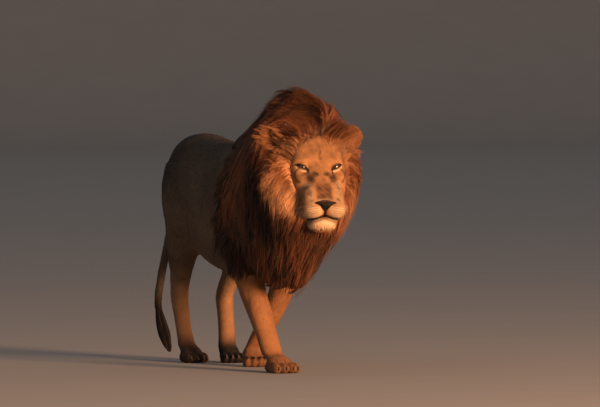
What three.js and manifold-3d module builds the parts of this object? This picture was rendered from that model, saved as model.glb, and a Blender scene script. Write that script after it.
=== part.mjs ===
// A male African lion, walking, life size, as a still museum model.
// Millimetres, +Z up. The lion faces -Y, so +X is the lion's own left side.
// The finished group is centred over the origin and stands on the floor at Z = 0.
//
// Each part is a body of its own: the flesh with its coat, out to the tips of the hair.
// A limb is a loft of level rings, the trunk and mane are lofts of upright rings, and
// small forms are stretched spheres. Manifold joins and parts them.

import * as THREE from "three";
import { LoftGeometry } from "three/addons/geometries/LoftGeometry.js";
import { mergeVertices } from "three/addons/utils/BufferGeometryUtils.js";
import Module from "manifold-3d";

const wasm = await Module();
wasm.setup();

// ---- driving dimensions -------------------------------------------------------------

const RUMP_HEIGHT = 1012; // top of the hips above the floor
const GAP = 0.8; // clearance left round a body that another one meets
const FLOOR_DIP = 5; // how far a pad is sunk before the floor trims it flat

const EYE_POINT = new THREE.Vector3(-44, -1000, 885); // midway between the eyes
const HEAD_TURN = 11; // degrees that the head looks to the lion's right
const EYE_SPREAD = 70; // each eye from the middle of the face
const EYE_RADIUS = 20;

// ---- materials ----------------------------------------------------------------------

const finish = (color, roughness) => new THREE.MeshStandardMaterial({ color, roughness, metalness: 0 });
const coat = finish(0x9a6b3c, 0.85);
const ruffHair = finish(0xa9602a, 0.8);
const darkHair = finish(0x3a2115, 0.8);
const noseSkin = finish(0x2a1c18, 0.45);
const eyeGlass = finish(0x8a5a1e, 0.1);

// ---- solids -------------------------------------------------------------------------

// A closed geometry as a manifold solid, with its shared corners merged.
function solid(geometry) {
  const bare = new THREE.BufferGeometry().setAttribute("position", geometry.getAttribute("position"));
  bare.setIndex(geometry.index);
  const merged = mergeVertices(bare, 1e-3);
  return new wasm.Manifold(
    new wasm.Mesh({
      numProp: 3,
      vertProperties: merged.attributes.position.array,
      triVerts: new Uint32Array(merged.index.array),
    }),
  );
}

const join = (bodies) => bodies.reduce((sum, body) => sum.add(body));
const cut = (body, tools) => tools.reduce((rest, tool) => rest.subtract(tool), body);

// The largest separate piece of a body, which leaves out crumbs from a cut.
const largest = (body) => body.decompose().sort((a, b) => b.volume() - a.volume())[0];

// A big block that holds everything on the side of a plane that `away` points to.
function halfSpace(point, away) {
  const size = 4000;
  const block = new THREE.BoxGeometry(size, size, size);
  const turn = new THREE.Quaternion().setFromUnitVectors(new THREE.Vector3(0, 0, 1), away.clone().normalize());
  const centre = away.clone().normalize().multiplyScalar(size / 2).add(point);
  return solid(block.applyMatrix4(new THREE.Matrix4().compose(centre, turn, new THREE.Vector3(1, 1, 1))));
}

// ---- lofts --------------------------------------------------------------------------

// Reads a table of rows at any place along its first column, as one smooth curve per column.
function smooth(rows) {
  const width = rows[0].length - 1;
  const places = Float32Array.from(rows, (row) => row[0]);
  const values = Float32Array.from(rows.flatMap((row) => row.slice(1)));
  const curve = new THREE.CubicInterpolant(places, values, width, new Float32Array(width));
  return (place) => Array.from(curve.evaluate(place));
}

// Points round an oval. `full` above 2 squares its shoulders, and below 2 pinches them.
function oval(sides, full, place) {
  return Array.from({ length: sides }, (_, i) => {
    const angle = (i / sides) * 2 * Math.PI;
    const round = (v) => Math.sign(v) * Math.abs(v) ** (2 / full);
    return place(round(Math.cos(angle)), round(Math.sin(angle)), angle);
  });
}

function steps(from, to, count) {
  return Array.from({ length: count + 1 }, (_, i) => THREE.MathUtils.lerp(from, to, i / count));
}

// How far a ring moves along its own axis as a body grows: only the end rings do.
const endShift = (place, rows, grow) => (place === rows[0][0] ? -grow : place === rows.at(-1)[0] ? grow : 0);

// A limb: rows of [height, x, y, half width, half depth], lowest first.
function limb(rows, { sides = 10, rings = 12, grow = 0 } = {}) {
  const at = smooth(rows);
  const sections = steps(rows[0][0], rows.at(-1)[0], rings).map((z) => {
    const [x, y, wide, deep] = at(z);
    const level = z + endShift(z, rows, grow);
    return oval(sides, 2.15, (c, s) => new THREE.Vector3(x + c * (wide + grow), y + s * (deep + grow), level));
  });
  return solid(new LoftGeometry(sections, { capStart: true, capEnd: true }));
}

// A barrel along the body: rows of [y, x, top, bottom, half width], front first.
function barrel(rows, { sides = 18, rings = 12, grow = 0, full = 2.2 } = {}) {
  const at = smooth(rows);
  const sections = steps(rows[0][0], rows.at(-1)[0], rings).map((y) => {
    const [x, top, bottom, wide] = at(y);
    const middle = (top + bottom) / 2;
    const tall = (top - bottom) / 2;
    const place = y + endShift(y, rows, grow);
    return oval(sides, full, (c, s) => new THREE.Vector3(x + c * (wide + grow), place, middle - s * (tall + grow)));
  });
  return solid(new LoftGeometry(sections, { capStart: true, capEnd: true }));
}

// A tapering tube along a path of [x, y, z, radius] points.
function tube(path, { sides = 8, rings = 11, grow = 0 } = {}) {
  const curve = new THREE.CatmullRomCurve3(path.map(([x, y, z]) => new THREE.Vector3(x, y, z)));
  const girth = smooth(path.map((row, i) => [i / (path.length - 1), row[3]]));
  const side = new THREE.Vector3(1, 0, 0);
  const sections = steps(0, 1, rings).map((t) => {
    const along = curve.getTangent(t);
    const centre = curve.getPoint(t).addScaledVector(along, t === 0 ? -grow : t === 1 ? grow : 0);
    const across = side.clone().addScaledVector(along, -side.dot(along)).normalize();
    const over = new THREE.Vector3().crossVectors(along, across);
    const [radius] = girth(t);
    return oval(sides, 2, (c, s) =>
      centre.clone().addScaledVector(across, c * (radius + grow)).addScaledVector(over, s * (radius + grow)),
    );
  });
  return solid(new LoftGeometry(sections, { capStart: true, capEnd: true }));
}

// A stretched sphere. `turn` is in degrees about x, then y, then z.
function egg([x, y, z], [rx, ry, rz], { turn = [0, 0, 0], sides = 10, grow = 0 } = {}) {
  const sphere = new THREE.SphereGeometry(1, sides, Math.ceil(sides * 0.55)).rotateX(Math.PI / 2);
  const euler = new THREE.Euler(...turn.map(THREE.MathUtils.degToRad));
  const place = new THREE.Matrix4().compose(
    new THREE.Vector3(x, y, z),
    new THREE.Quaternion().setFromEuler(euler),
    new THREE.Vector3(rx + grow, ry + grow, rz + grow),
  );
  return solid(sphere.applyMatrix4(place));
}

// ---- trunk --------------------------------------------------------------------------

const trunkRows = [
  // y, x, top, bottom, half width
  [-600, 0, 900, 520, 120],
  [-520, 0, 985, 440, 175],
  [-400, 0, 1022, 392, 198],
  [-250, 0, 1003, 378, 206],
  [-80, 0, 975, 382, 204],
  [80, 0, 974, 400, 196],
  [230, 0, 990, 432, 182],
  [340, 0, 1004, 480, 172],
  [440, 0, RUMP_HEIGHT, 530, 168],
  [540, 0, 996, 580, 150],
  [610, 0, 952, 650, 112],
  [650, 0, 905, 720, 62],
];
const trunk = (grow = 0) => barrel(trunkRows, { grow });

// ---- legs ---------------------------------------------------------------------------

const forelegRightRows = [
  // height, x, y, half width, half depth
  [60, -79, -572, 50, 44],
  [100, -83, -552, 51, 46],
  [150, -87, -518, 50, 50],
  [200, -92, -484, 52, 56],
  [256, -98, -450, 56, 62],
  [310, -107, -422, 58, 68],
  [361, -117, -402, 60, 74],
  [420, -130, -385, 62, 86],
  [500, -136, -385, 64, 100],
  [580, -138, -400, 62, 110],
];
const forelegLeftRows = [
  [45, 32, -44, 40, 34],
  [80, 40, -50, 44, 36],
  [120, 51, -74, 47, 44],
  [160, 62, -102, 48, 50],
  [210, 77, -133, 50, 56],
  [260, 92, -158, 53, 60],
  [310, 106, -180, 56, 66],
  [360, 118, -202, 59, 74],
  [420, 130, -232, 61, 86],
  [500, 136, -275, 63, 100],
  [580, 138, -310, 60, 108],
];
const hindlegRightRows = [
  [55, -80, 446, 44, 46],
  [100, -82, 466, 38, 42],
  [160, -86, 486, 36, 40],
  [220, -89, 502, 37, 44],
  [275, -92, 514, 38, 57],
  [340, -99, 492, 42, 60],
  [400, -108, 458, 50, 76],
  [460, -117, 420, 60, 100],
  [530, -124, 385, 68, 132],
  [610, -126, 372, 74, 160],
  [700, -120, 392, 78, 178],
  [790, -110, 412, 76, 166],
  [870, -95, 430, 66, 128],
];
const hindlegLeftRows = [
  [50, 70, 352, 44, 44],
  [90, 74, 366, 40, 42],
  [150, 78, 382, 38, 42],
  [220, 82, 404, 38, 46],
  [285, 87, 426, 39, 58],
  [345, 94, 400, 43, 64],
  [400, 103, 356, 51, 82],
  [460, 113, 312, 60, 106],
  [530, 122, 290, 68, 136],
  [610, 126, 298, 74, 160],
  [700, 120, 338, 78, 178],
  [790, 110, 378, 76, 166],
  [870, 95, 412, 66, 128],
];

// A paw: four toes in a fan with a heel pad behind them, all trimmed flat by the floor.
// `steep` lifts the heel, as when the foot leaves the ground with its toe tips down.
function paw({ x, y, wide, long, turn = 0, steep = 0 }, grow = 0) {
  const toes = [-0.72, -0.26, 0.26, 0.72].map((side) => {
    const reach = long * (0.5 - 0.22 * side * side);
    return egg([side * wide, -reach, 24], [wide * 0.3, long * 0.3, 27], { turn: [-steep, 0, 0], sides: 7, grow });
  });
  const heel = egg([0, long * 0.12, 26 + steep * 0.5], [wide * 0.72, long * 0.4, 31], { sides: 8, grow });
  const arch = egg([0, -long * 0.12, 46], [wide * 0.84, long * 0.44, 34], { turn: [18 + steep, 0, 0], sides: 9, grow });
  const body = join([...toes, heel, arch]);
  const spin = new THREE.Matrix4().makeRotationZ(THREE.MathUtils.degToRad(turn)).setPosition(x, y, -FLOOR_DIP);
  return body.transform(spin.elements);
}

const paws = {
  foreRight: { x: -77, y: -612, wide: 64, long: 150, turn: 6 },
  foreLeft: { x: 30, y: -52, wide: 56, long: 104, turn: -4, steep: 34 },
  hindRight: { x: -78, y: 420, wide: 55, long: 136, turn: 4 },
  hindLeft: { x: 70, y: 330, wide: 52, long: 118, turn: -4, steep: 14 },
};
const aboveFloor = halfSpace(new THREE.Vector3(0, 0, 0), new THREE.Vector3(0, 0, 1));

// The inner claw of a forepaw, high on the wrist.
const dewPad = ([x, y, z], grow) => egg([x, y, z], [16, 20, 26], { sides: 8, grow });

function leg(rows, foot, extras = () => [], grow = 0) {
  return join([limb(rows, { grow }), paw(foot, grow), ...extras(grow)]).intersect(aboveFloor);
}
const forelegRight = (grow) => leg(forelegRightRows, paws.foreRight, (g) => [dewPad([-34, -560, 92], g)], grow);
const forelegLeft = (grow) => leg(forelegLeftRows, paws.foreLeft, (g) => [dewPad([-4, -76, 104], g)], grow);
const hindlegRight = (grow) => leg(hindlegRightRows, paws.hindRight, undefined, grow);
const hindlegLeft = (grow) => leg(hindlegLeftRows, paws.hindLeft, undefined, grow);

// ---- tail ---------------------------------------------------------------------------

const tailPath = [
  // x, y, z, radius
  [0, 560, 905, 34],
  [-4, 640, 872, 32],
  [-16, 700, 780, 28],
  [-40, 724, 640, 25],
  [-68, 728, 500, 23],
  [-96, 730, 370, 22],
  [-112, 728, 260, 21],
  [-106, 716, 180, 19],
];
const tuftPath = [
  [-112, 726, 245, 23],
  [-107, 717, 195, 28],
  [-100, 708, 148, 30],
  [-92, 697, 104, 28],
  [-84, 684, 64, 20],
  [-79, 672, 36, 6],
];
const tail = (grow = 0) => tube(tailPath, { grow });
const tuft = (grow = 0) => tube(tuftPath, { rings: 8, grow });

// ---- head ---------------------------------------------------------------------------
// The head's own frame: x to one side, y forward out of the face, z up, from the eye point.
// Its forms melt together: the surface is where a blended distance field crosses zero,
// found along rays from one point inside, ring by ring.

const intoBody = new THREE.Matrix4().makeRotationZ(THREE.MathUtils.degToRad(180 - HEAD_TURN)).setPosition(EYE_POINT);
const fromFace = (body) => body.transform(intoBody.elements);

// Both sides of a paired form. After the turn, the lion's left is at -x.
const pair = (make) => [make(-1), make(1)];

// `melt` is the width over which a form runs into the ones before it. `power` 2 is an
// ellipsoid, and more than 2 is boxier.
function form([x, y, z], [rx, ry, rz], melt, { pitch = 0, yaw = 0, power = 2 } = {}) {
  const euler = new THREE.Euler(THREE.MathUtils.degToRad(pitch), 0, THREE.MathUtils.degToRad(yaw), "ZYX");
  const pose = new THREE.Matrix4().makeRotationFromEuler(euler).setPosition(x, y, z);
  return { radii: [rx, ry, rz], melt, power, intoForm: pose.invert() };
}

const headForms = [
  form([0, -120, 34], [120, 118, 100], 1), // braincase
  form([0, -62, 30], [104, 58, 92], 30, { pitch: 34, power: 2.4 }), // forehead
  ...pair((side) => form([side * 58, -22, 28], [40, 30, 18], 22, { yaw: side * -20 })), // brow
  form([0, 36, -94], [51, 124, 56], 28, { pitch: -50, power: 3 }), // bridge and muzzle
  ...pair((side) => form([side * 47, 98, -176], [52, 56, 43], 20, { yaw: side * -10 })), // lip pad
  ...pair((side) => form([side * 50, 44, -132], [42, 72, 60], 34, { yaw: side * -6 })), // side of the muzzle
  ...pair((side) => form([side * 88, -52, -40], [38, 72, 48], 34, { yaw: side * 12 })), // cheekbone
  ...pair((side) => form([side * 76, -76, -120], [52, 84, 84], 44)), // cheek
  ...pair((side) => form([side * 64, 0, -74], [40, 46, 54], 34)), // below the eye
  ...pair((side) => form([side * 56, 6, -176], [46, 72, 48], 36, { yaw: side * 6 })), // corner of the mouth
  form([0, 74, -231], [56, 46, 34], 16, { power: 2.4 }), // chin
  form([0, -10, -204], [72, 104, 52], 34), // jaw
  form([0, -130, -140], [92, 100, 96], 50), // throat
];

function distanceTo(point, { radii, power, intoForm }) {
  const local = point.clone().applyMatrix4(intoForm).toArray();
  const scaled = local.map((value, i) => Math.abs(value) / radii[i]);
  const sum = scaled.reduce((total, value) => total + value ** power, 0);
  const reach = sum ** (1 / power);
  const slope = Math.hypot(...scaled.map((value, i) => value ** (power - 1) / radii[i])) * reach ** (1 - power);
  return (reach - 1) / slope;
}

// Smooth minimum over all forms.
function headField(point) {
  return headForms.reduce((nearest, one) => {
    const distance = distanceTo(point, one);
    const share = Math.max(one.melt - Math.abs(nearest - distance), 0) / one.melt;
    return Math.min(nearest, distance) - (share * share * one.melt) / 4;
  }, Infinity);
}

const HEAD_HEART = new THREE.Vector3(0, -20, -80); // the rays start here
const FARTHEST = 330; // no part of the head is farther from the heart than this

// Where a ray from the heart leaves the head: it walks in from outside by the field's value.
function surfaceAlong(direction) {
  let reach = FARTHEST;
  for (let i = 0; i < 24; i++) {
    const left = headField(HEAD_HEART.clone().addScaledVector(direction, reach));
    reach -= 0.8 * left;
    if (Math.abs(left) < 0.2) break;
  }
  return reach;
}

// Rings from the throat to the crown, their points closer together over the face.
const HEAD_SIDES = 24;
const HEAD_RINGS = 19;
const headRays = steps(0.03, 0.97, HEAD_RINGS).map((share) => {
  const height = -Math.cos(Math.PI * share);
  const wide = Math.sqrt(1 - height * height);
  return Array.from({ length: HEAD_SIDES }, (_, i) => {
    const even = (i / HEAD_SIDES) * 2 * Math.PI;
    const round = even + 0.45 * Math.sin(even);
    const direction = new THREE.Vector3(Math.sin(round) * wide, -Math.cos(round) * wide, height);
    return { direction, reach: surfaceAlong(direction) };
  });
});
function wholeHead(grow = 0) {
  const sections = headRays.map((ring) =>
    ring.map(({ direction, reach }) => HEAD_HEART.clone().addScaledVector(direction, reach + grow)),
  );
  return solid(new LoftGeometry(sections, { capStart: true, capEnd: true }));
}

// The bare nose pad: a rounded triangle that bulges forward, its top edge the widest.
function nose(grow = 0) {
  const forms = [
    egg([0, 140, -147], [45, 21, 15], { turn: [-30, 0, 0], grow }),
    egg([0, 142, -161], [27, 18, 21], { turn: [-20, 0, 0], sides: 8, grow }),
  ];
  return join(forms);
}
const eye = (side, grow = 0) => egg([side * EYE_SPREAD, -4, 0], Array(3).fill(EYE_RADIUS), { sides: 10, grow });

// The closed mouth parts the jaw from the rest of the head along one thin level cut.
const MOUTH = { level: -211, back: -50 };
const belowMouth = (gap) => halfSpace(new THREE.Vector3(0, 0, MOUTH.level + gap), new THREE.Vector3(0, 0, -1));
const beforeJaw = (gap) => halfSpace(new THREE.Vector3(0, MOUTH.back - gap, 0), new THREE.Vector3(0, 1, 0));
const jawSpace = (gap) => belowMouth(gap).intersect(beforeJaw(gap));

// An ear: a rounded cup with its hollow turned outwards and forward.
function ear({ side, at, lean, swing }, grow = 0) {
  const shell = egg([0, 0, 36], [48, 24, 60], { sides: 10, grow });
  const hollow = egg([0, 24, 46], [34, 24, 43], { sides: 8 });
  const cup = grow ? shell : cut(shell, [hollow]);
  const pose = new THREE.Matrix4().makeRotationFromEuler(
    new THREE.Euler(
      THREE.MathUtils.degToRad(8),
      THREE.MathUtils.degToRad(side * lean),
      THREE.MathUtils.degToRad(side * -swing),
      "ZYX",
    ),
  );
  pose.setPosition(side * at[0], at[1], at[2]);
  return cup.transform(pose.elements);
}
const ears = {
  left: { side: -1, at: [128, -96, 84], lean: 40, swing: 14 },
  right: { side: 1, at: [134, -90, 84], lean: 58, swing: 18 },
};

// ---- mane ---------------------------------------------------------------------------

// The ruff's front leans back from the chin up to the eyes, as the face does.
const LEAN_FROM = 690;
const LEAN_HEIGHT = 200;

const maneRows = [
  // y below the chin, x, top, bottom, half width, lean, pinch
  [-1062, -50, 1040, 640, 130, 0.6, 0.1],
  [-1046, -50, 1092, 606, 178, 0.57, 0.2],
  [-1008, -48, 1146, 572, 220, 0.5, 0.28],
  [-950, -46, 1188, 530, 248, 0.4, 0.3],
  [-870, -46, 1212, 470, 258, 0.28, 0.3],
  [-780, -46, 1208, 400, 252, 0.16, 0.32],
  [-680, -38, 1194, 346, 250, 0.06, 0.33],
  [-580, -24, 1158, 326, 250, 0, 0.31],
  [-490, -12, 1126, 338, 248, 0, 0.27],
  [-410, -4, 1086, 352, 244, 0, 0.22],
  [-350, 0, 1056, 364, 230, 0, 0.14],
  [-312, 0, 1044, 376, 216, 0, 0.1],
  [-270, 0, 1030, 386, 204, 0, 0.06],
];
// Round each ear the hair starts farther back, so that the ear stands free of it.
const EAR_PART = { out: 150, up: 995, wide: 95, tall: 95, deep: 90, behind: -640 };
function earPart(x, y, z) {
  const off = Math.hypot((Math.abs(x) - EAR_PART.out) / EAR_PART.wide, (z - EAR_PART.up) / EAR_PART.tall);
  const share = THREE.MathUtils.clamp((y - EAR_PART.behind) / (maneRows[0][0] - EAR_PART.behind), 0, 1);
  return EAR_PART.deep * share * Math.max(0, 1 - off * off);
}

// Hair hangs and blows back in locks: slow lobes round the neck that drift along it.
const locks = (angle, y) => 0.018 * Math.sin(5 * angle + y / 60) + 0.012 * Math.sin(9 * angle - y / 38);

// The hanging half narrows to a keel, and the upper half draws in towards the crest. The wind
// lifts the hair over the lion's left, so there the top is fuller and the hanging half slimmer.
const KEEL = { left: 0.32, right: 0.14 };
const PINCHED = { left: 0.35, right: 0.48 };
function maneTaper(angle, pinch) {
  const down = Math.sin(angle);
  const side = Math.cos(angle) > 0 ? "left" : "right";
  return down > 0 ? 1 - KEEL[side] * down : 1 + PINCHED[side] * pinch * down;
}

function maneBody({ sides = 24, rings = 11 } = {}) {
  const at = smooth(maneRows);
  const sections = steps(maneRows[0][0], maneRows.at(-1)[0], rings).map((y) => {
    const [x, top, bottom, wide, lean, pinch] = at(y);
    const middle = (top + bottom) / 2;
    return Array.from({ length: sides }, (_, i) => {
      const angle = (i / sides) * 2 * Math.PI;
      const swell = 1 + locks(angle, y);
      const z = middle - Math.sin(angle) * (middle - bottom) * swell;
      const taper = maneTaper(angle, pinch);
      const back = lean * THREE.MathUtils.clamp(z - LEAN_FROM, 0, LEAN_HEIGHT);
      const out = Math.cos(angle) * wide * swell * taper;
      return new THREE.Vector3(x + out, y + back + earPart(out, y, z), z);
    });
  });
  return solid(new LoftGeometry(sections, { capStart: true, capEnd: true }));
}

// The crest runs on over the withers behind the rest of the mane.
const crestRows = [
  [-300, -8, 1050, 900, 124],
  [-200, -10, 1028, 900, 108],
  [-100, -8, 1002, 900, 80],
  [-20, -4, 982, 920, 40],
];
const crestEnd = () => barrel(crestRows, { sides: 16, rings: 6, full: 2 });

const BACK_OF_RUFF = -850; // the ruff frames the face in front of this
const CREST_BOTTOM = 1010;
const CHEST_TOP = 610;
const BACK_OF_MANE = -300;

const along = (y, z) => new THREE.Vector3(0, y, z);
const slices = {
  mane_ruff: [[along(BACK_OF_RUFF - GAP / 2, 0), along(-1, 0)]],
  mane_crest: [
    [along(BACK_OF_RUFF + GAP / 2, 0), along(1, 0)],
    [along(0, CREST_BOTTOM + GAP / 2), along(0, 1)],
  ],
  neck: [
    [along(BACK_OF_RUFF + GAP / 2, 0), along(1, 0)],
    [along(0, CREST_BOTTOM - GAP / 2), along(0, -1)],
    [along(0, CHEST_TOP + GAP / 2), along(0, 1)],
  ],
  mane_chest: [
    [along(BACK_OF_RUFF + GAP / 2, 0), along(1, 0)],
    [along(0, CHEST_TOP - GAP / 2), along(0, -1)],
  ],
};
const keep = (body, planes) => planes.reduce((rest, [point, away]) => rest.intersect(halfSpace(point, away)), body);

// ---- assembly -----------------------------------------------------------------------

const headSpace = fromFace(wholeHead(GAP));
const earParts = (grow) => [ear(ears.left, grow), ear(ears.right, grow)].map(fromFace);
const forelegSpaces = [forelegRight(GAP), forelegLeft(GAP)];
const hindlegSpaces = [hindlegRight(GAP), hindlegLeft(GAP)];

const wholeMane = cut(maneBody(), [headSpace, ...earParts(GAP), ...forelegSpaces]);
const behindMane = halfSpace(along(BACK_OF_MANE, 0), along(1, 0));
const beforeCrestEnd = halfSpace(along(BACK_OF_MANE - GAP, 0), along(-1, 0));
const trunkBody = cut(trunk().intersect(behindMane), [...forelegSpaces, ...hindlegSpaces]);

const eyeHoles = pair((side) => eye(side, GAP));
const headBody = cut(wholeHead(), [jawSpace(GAP), nose(GAP), ...eyeHoles]);
const jawBody = cut(wholeHead().intersect(jawSpace(0)), [nose(GAP)]);
const [earLeft, earRight] = earParts(0);

const lion = new THREE.Group();
function add(name, body, material) {
  const mesh = largest(body).getMesh();
  const geometry = new THREE.BufferGeometry()
    .setAttribute("position", new THREE.BufferAttribute(Float32Array.from(mesh.vertProperties), 3))
    .setIndex(new THREE.BufferAttribute(Uint32Array.from(mesh.triVerts), 1));
  geometry.computeVertexNormals();
  const made = new THREE.Mesh(geometry, material);
  made.name = name;
  lion.add(made);
}

add("head", fromFace(headBody), coat);
add("jaw", fromFace(jawBody), coat);
add("nose", fromFace(nose()), noseSkin);
add("eye_left", fromFace(eye(-1)), eyeGlass);
add("eye_right", fromFace(eye(1)), eyeGlass);
add("ear_left", cut(earLeft, [headSpace]), ruffHair);
add("ear_right", cut(earRight, [headSpace]), ruffHair);
for (const [name, planes] of Object.entries(slices)) {
  const body = keep(wholeMane.intersect(beforeCrestEnd), planes);
  add(name, body, name === "mane_ruff" ? ruffHair : darkHair);
}
add("mane_withers", cut(crestEnd().intersect(behindMane), [trunk(GAP)]), darkHair);
add("trunk", trunkBody, coat);
add("foreleg_right", forelegRight(), coat);
add("foreleg_left", forelegLeft(), coat);
add("hindleg_right", hindlegRight(), coat);
add("hindleg_left", hindlegLeft(), coat);
add("tail", cut(tail(), [trunk(GAP)]), coat);
add("tail_tuft", cut(tuft(), [tail(GAP)]), darkHair);

const bounds = new THREE.Box3().setFromObject(lion);
const centre = bounds.getCenter(new THREE.Vector3());
lion.position.set(-centre.x, -centre.y, -bounds.min.z);

export default lion;
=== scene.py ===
# %% [markdown]
# # A walking lion
# This lesson dresses a life-size male lion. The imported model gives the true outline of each
# body part, out to the tips of the hair. Here one skin takes the place of all the parts of
# flesh, and thousands of small locks of hair grow on it. Eyes, nose, claws and whiskers stay
# pieces of their own.

import math
import time

import bpy
import numpy as np
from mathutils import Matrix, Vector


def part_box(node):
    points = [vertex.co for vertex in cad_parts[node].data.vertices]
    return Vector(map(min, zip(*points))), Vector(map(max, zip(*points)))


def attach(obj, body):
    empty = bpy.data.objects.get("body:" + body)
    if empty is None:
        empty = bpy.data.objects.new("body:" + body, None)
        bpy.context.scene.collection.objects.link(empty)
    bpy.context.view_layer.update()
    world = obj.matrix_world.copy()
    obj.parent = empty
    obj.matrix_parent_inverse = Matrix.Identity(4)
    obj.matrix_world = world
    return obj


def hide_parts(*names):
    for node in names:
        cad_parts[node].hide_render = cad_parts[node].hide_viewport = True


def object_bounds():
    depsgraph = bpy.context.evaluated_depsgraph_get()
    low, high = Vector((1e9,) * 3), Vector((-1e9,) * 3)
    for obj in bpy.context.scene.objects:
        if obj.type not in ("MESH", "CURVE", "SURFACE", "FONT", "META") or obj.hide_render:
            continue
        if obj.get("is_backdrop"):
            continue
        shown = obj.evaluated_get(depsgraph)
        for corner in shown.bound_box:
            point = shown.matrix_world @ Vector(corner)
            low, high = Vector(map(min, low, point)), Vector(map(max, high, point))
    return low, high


started = time.time()
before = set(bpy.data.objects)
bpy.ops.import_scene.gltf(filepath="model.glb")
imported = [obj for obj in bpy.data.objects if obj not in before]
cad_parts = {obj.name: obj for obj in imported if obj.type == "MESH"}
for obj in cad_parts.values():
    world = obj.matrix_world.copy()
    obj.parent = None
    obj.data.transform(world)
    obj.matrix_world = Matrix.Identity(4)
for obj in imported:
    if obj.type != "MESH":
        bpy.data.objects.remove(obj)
cad_box = [list(corner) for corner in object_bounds()]


def taken():
    """The seconds since the start, in words."""
    return f"{time.time() - started:.1f} s"


print("frame", [[round(v, 3) for v in corner] for corner in cad_box])


# %% [markdown]
# The lion's own measures are in millimetres, from a point on the floor under its shoulders:
# it faces -Y, and +X is its left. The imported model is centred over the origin, so every point
# moves by one shift. The eyes are the best-defined points, so their boxes give that shift.

# %% The lion's place
MM = 0.001
EYE_POINT = np.array([-44.0, -1000.0, 885.0])  # midway between the eyes
HEAD_TURN = 11.0  # degrees that the head looks to the lion's right
EYE_SPREAD = 70.0  # each eye from the middle of the face
EYE_DEPTH = -4.0
EYE_RADIUS = 20.0

turn = math.radians(180 - HEAD_TURN)
HEAD_AXES = np.array([
    [math.cos(turn), math.sin(turn), 0.0],
    [-math.sin(turn), math.cos(turn), 0.0],
    [0.0, 0.0, 1.0],
])  # rows: the head's own x, y and z as seen from the body


def to_body(head_points):
    """The head's own frame turned about Z and carried to the eye point."""
    return np.asarray(head_points) @ HEAD_AXES + EYE_POINT


def to_head(body_points):
    """The same turn undone."""
    return (np.asarray(body_points) - EYE_POINT) @ HEAD_AXES.T


eye_boxes = [np.array(corner) for name in ("eye_left", "eye_right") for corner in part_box(name)]
SHIFT = np.mean(eye_boxes, axis=0) - MM * to_body([0.0, EYE_DEPTH, 0.0])


def to_frame(body_points):
    """Body millimetres as frame metres."""
    return np.asarray(body_points) * MM + SHIFT


print("shift", SHIFT.round(4))
rng = np.random.default_rng(7)


# %% [markdown]
# The lion is seen from its front right, from far off with a long lens, so that near and far
# legs keep nearly the same size. The camera stands at eye height and looks slightly down.

# %% Camera
def placed(name, data):
    """A new object in the scene."""
    thing = bpy.data.objects.new(name, data)
    bpy.context.scene.collection.objects.link(thing)
    return thing


CAMERA_AZIMUTH = math.radians(-22)
CAMERA_DISTANCE = 32.0
CAMERA_HEIGHT = 1.5
CAMERA_SIDE = 0.253  # to the right, which leaves room before the lion
CAMERA_PITCH = math.radians(1.419)
CAMERA_LENS = 441.6

back = np.array([math.sin(CAMERA_AZIMUTH), -math.cos(CAMERA_AZIMUTH), 0.0])
side = np.array([math.cos(CAMERA_AZIMUTH), math.sin(CAMERA_AZIMUTH), 0.0])
spot = back * CAMERA_DISTANCE + side * CAMERA_SIDE + np.array([0, 0, CAMERA_HEIGHT])

camera_data = bpy.data.cameras.new("long_lens")
camera_data.lens = CAMERA_LENS
camera_data.sensor_width = 36
camera_data.clip_end = 1000
camera = placed("camera", camera_data)
camera.location = spot + SHIFT * [1, 1, 0]
camera.rotation_euler = (math.pi / 2 - CAMERA_PITCH, 0, CAMERA_AZIMUTH)
bpy.context.scene.camera = camera
print("camera at", np.round(camera.location, 2))


# %% [markdown]
# A body could be modelled by hand or sculpted. Here each form is a distance field, a function
# that is negative inside the form and grows with the distance from it. Fields melt together
# with a smooth minimum, as muscle under skin does, and one surface is then drawn where the
# joint field is zero. So legs, trunk, neck, head and ears share one skin with no seam.

# %% Ways to describe a form
def smooth_table(rows):
    """Each column as a cubic curve of the first one. Its slope at a row is that between the
    rows on either side."""
    rows = np.asarray(rows, float)
    knots, values = rows[:, 0], rows[:, 1:]
    slopes = np.gradient(values, knots, axis=0)

    def at(place):
        place = np.clip(place, knots[0], knots[-1])
        i = np.clip(np.searchsorted(knots, place, side="right") - 1, 0, len(knots) - 2)
        step = (knots[i + 1] - knots[i])[..., None]
        t = (place - knots[i])[..., None] / step
        start, end = values[i], values[i + 1]
        ease = t * t * (3 - 2 * t)
        bend = step * (slopes[i] * t * (1 - t) ** 2 - slopes[i + 1] * t * t * (1 - t))
        return start + (end - start) * ease + bend

    return at


def bell(distance, reach):
    """1 at no distance, falling smoothly to nearly 0 at twice the reach."""
    return np.exp(-((distance / reach) ** 2))


def ramp(value, start, end):
    """0 before the start, 1 after the end, and smooth between."""
    t = np.clip((value - start) / (end - start), 0, 1)
    return t * t * (3 - 2 * t)


def soft_min(a, b, melt):
    """The smaller of two fields, rounded over a width of `melt` where they cross."""
    share = np.maximum(melt - np.abs(a - b), 0) / melt
    return np.minimum(a, b) - share * share * melt / 4


def soft_max(a, b, melt):
    """The larger of two fields, rounded in the same way."""
    return -soft_min(-a, -b, melt)


def loft_field(rows, along, full=2.15, round_ends=24.0):
    """Ovals stacked along an axis. The field is how far a point lies outside the oval of its
    own level, scaled by the oval's smaller radius, and cut off at both ends."""
    at = smooth_table(rows)
    low, high = rows[0][0], rows[-1][0]
    across = [axis for axis in range(3) if axis != along]

    def field(p):
        middle_a, middle_b, radius_a, radius_b = at(p[:, along]).T
        a = np.abs(p[:, across[0]] - middle_a) / radius_a
        b = np.abs(p[:, across[1]] - middle_b) / radius_b
        reach = (a ** full + b ** full) ** (1 / full)
        beyond = np.maximum(low - p[:, along], p[:, along] - high)
        return soft_max((reach - 1) * np.minimum(radius_a, radius_b), beyond, round_ends)

    return field


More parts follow.
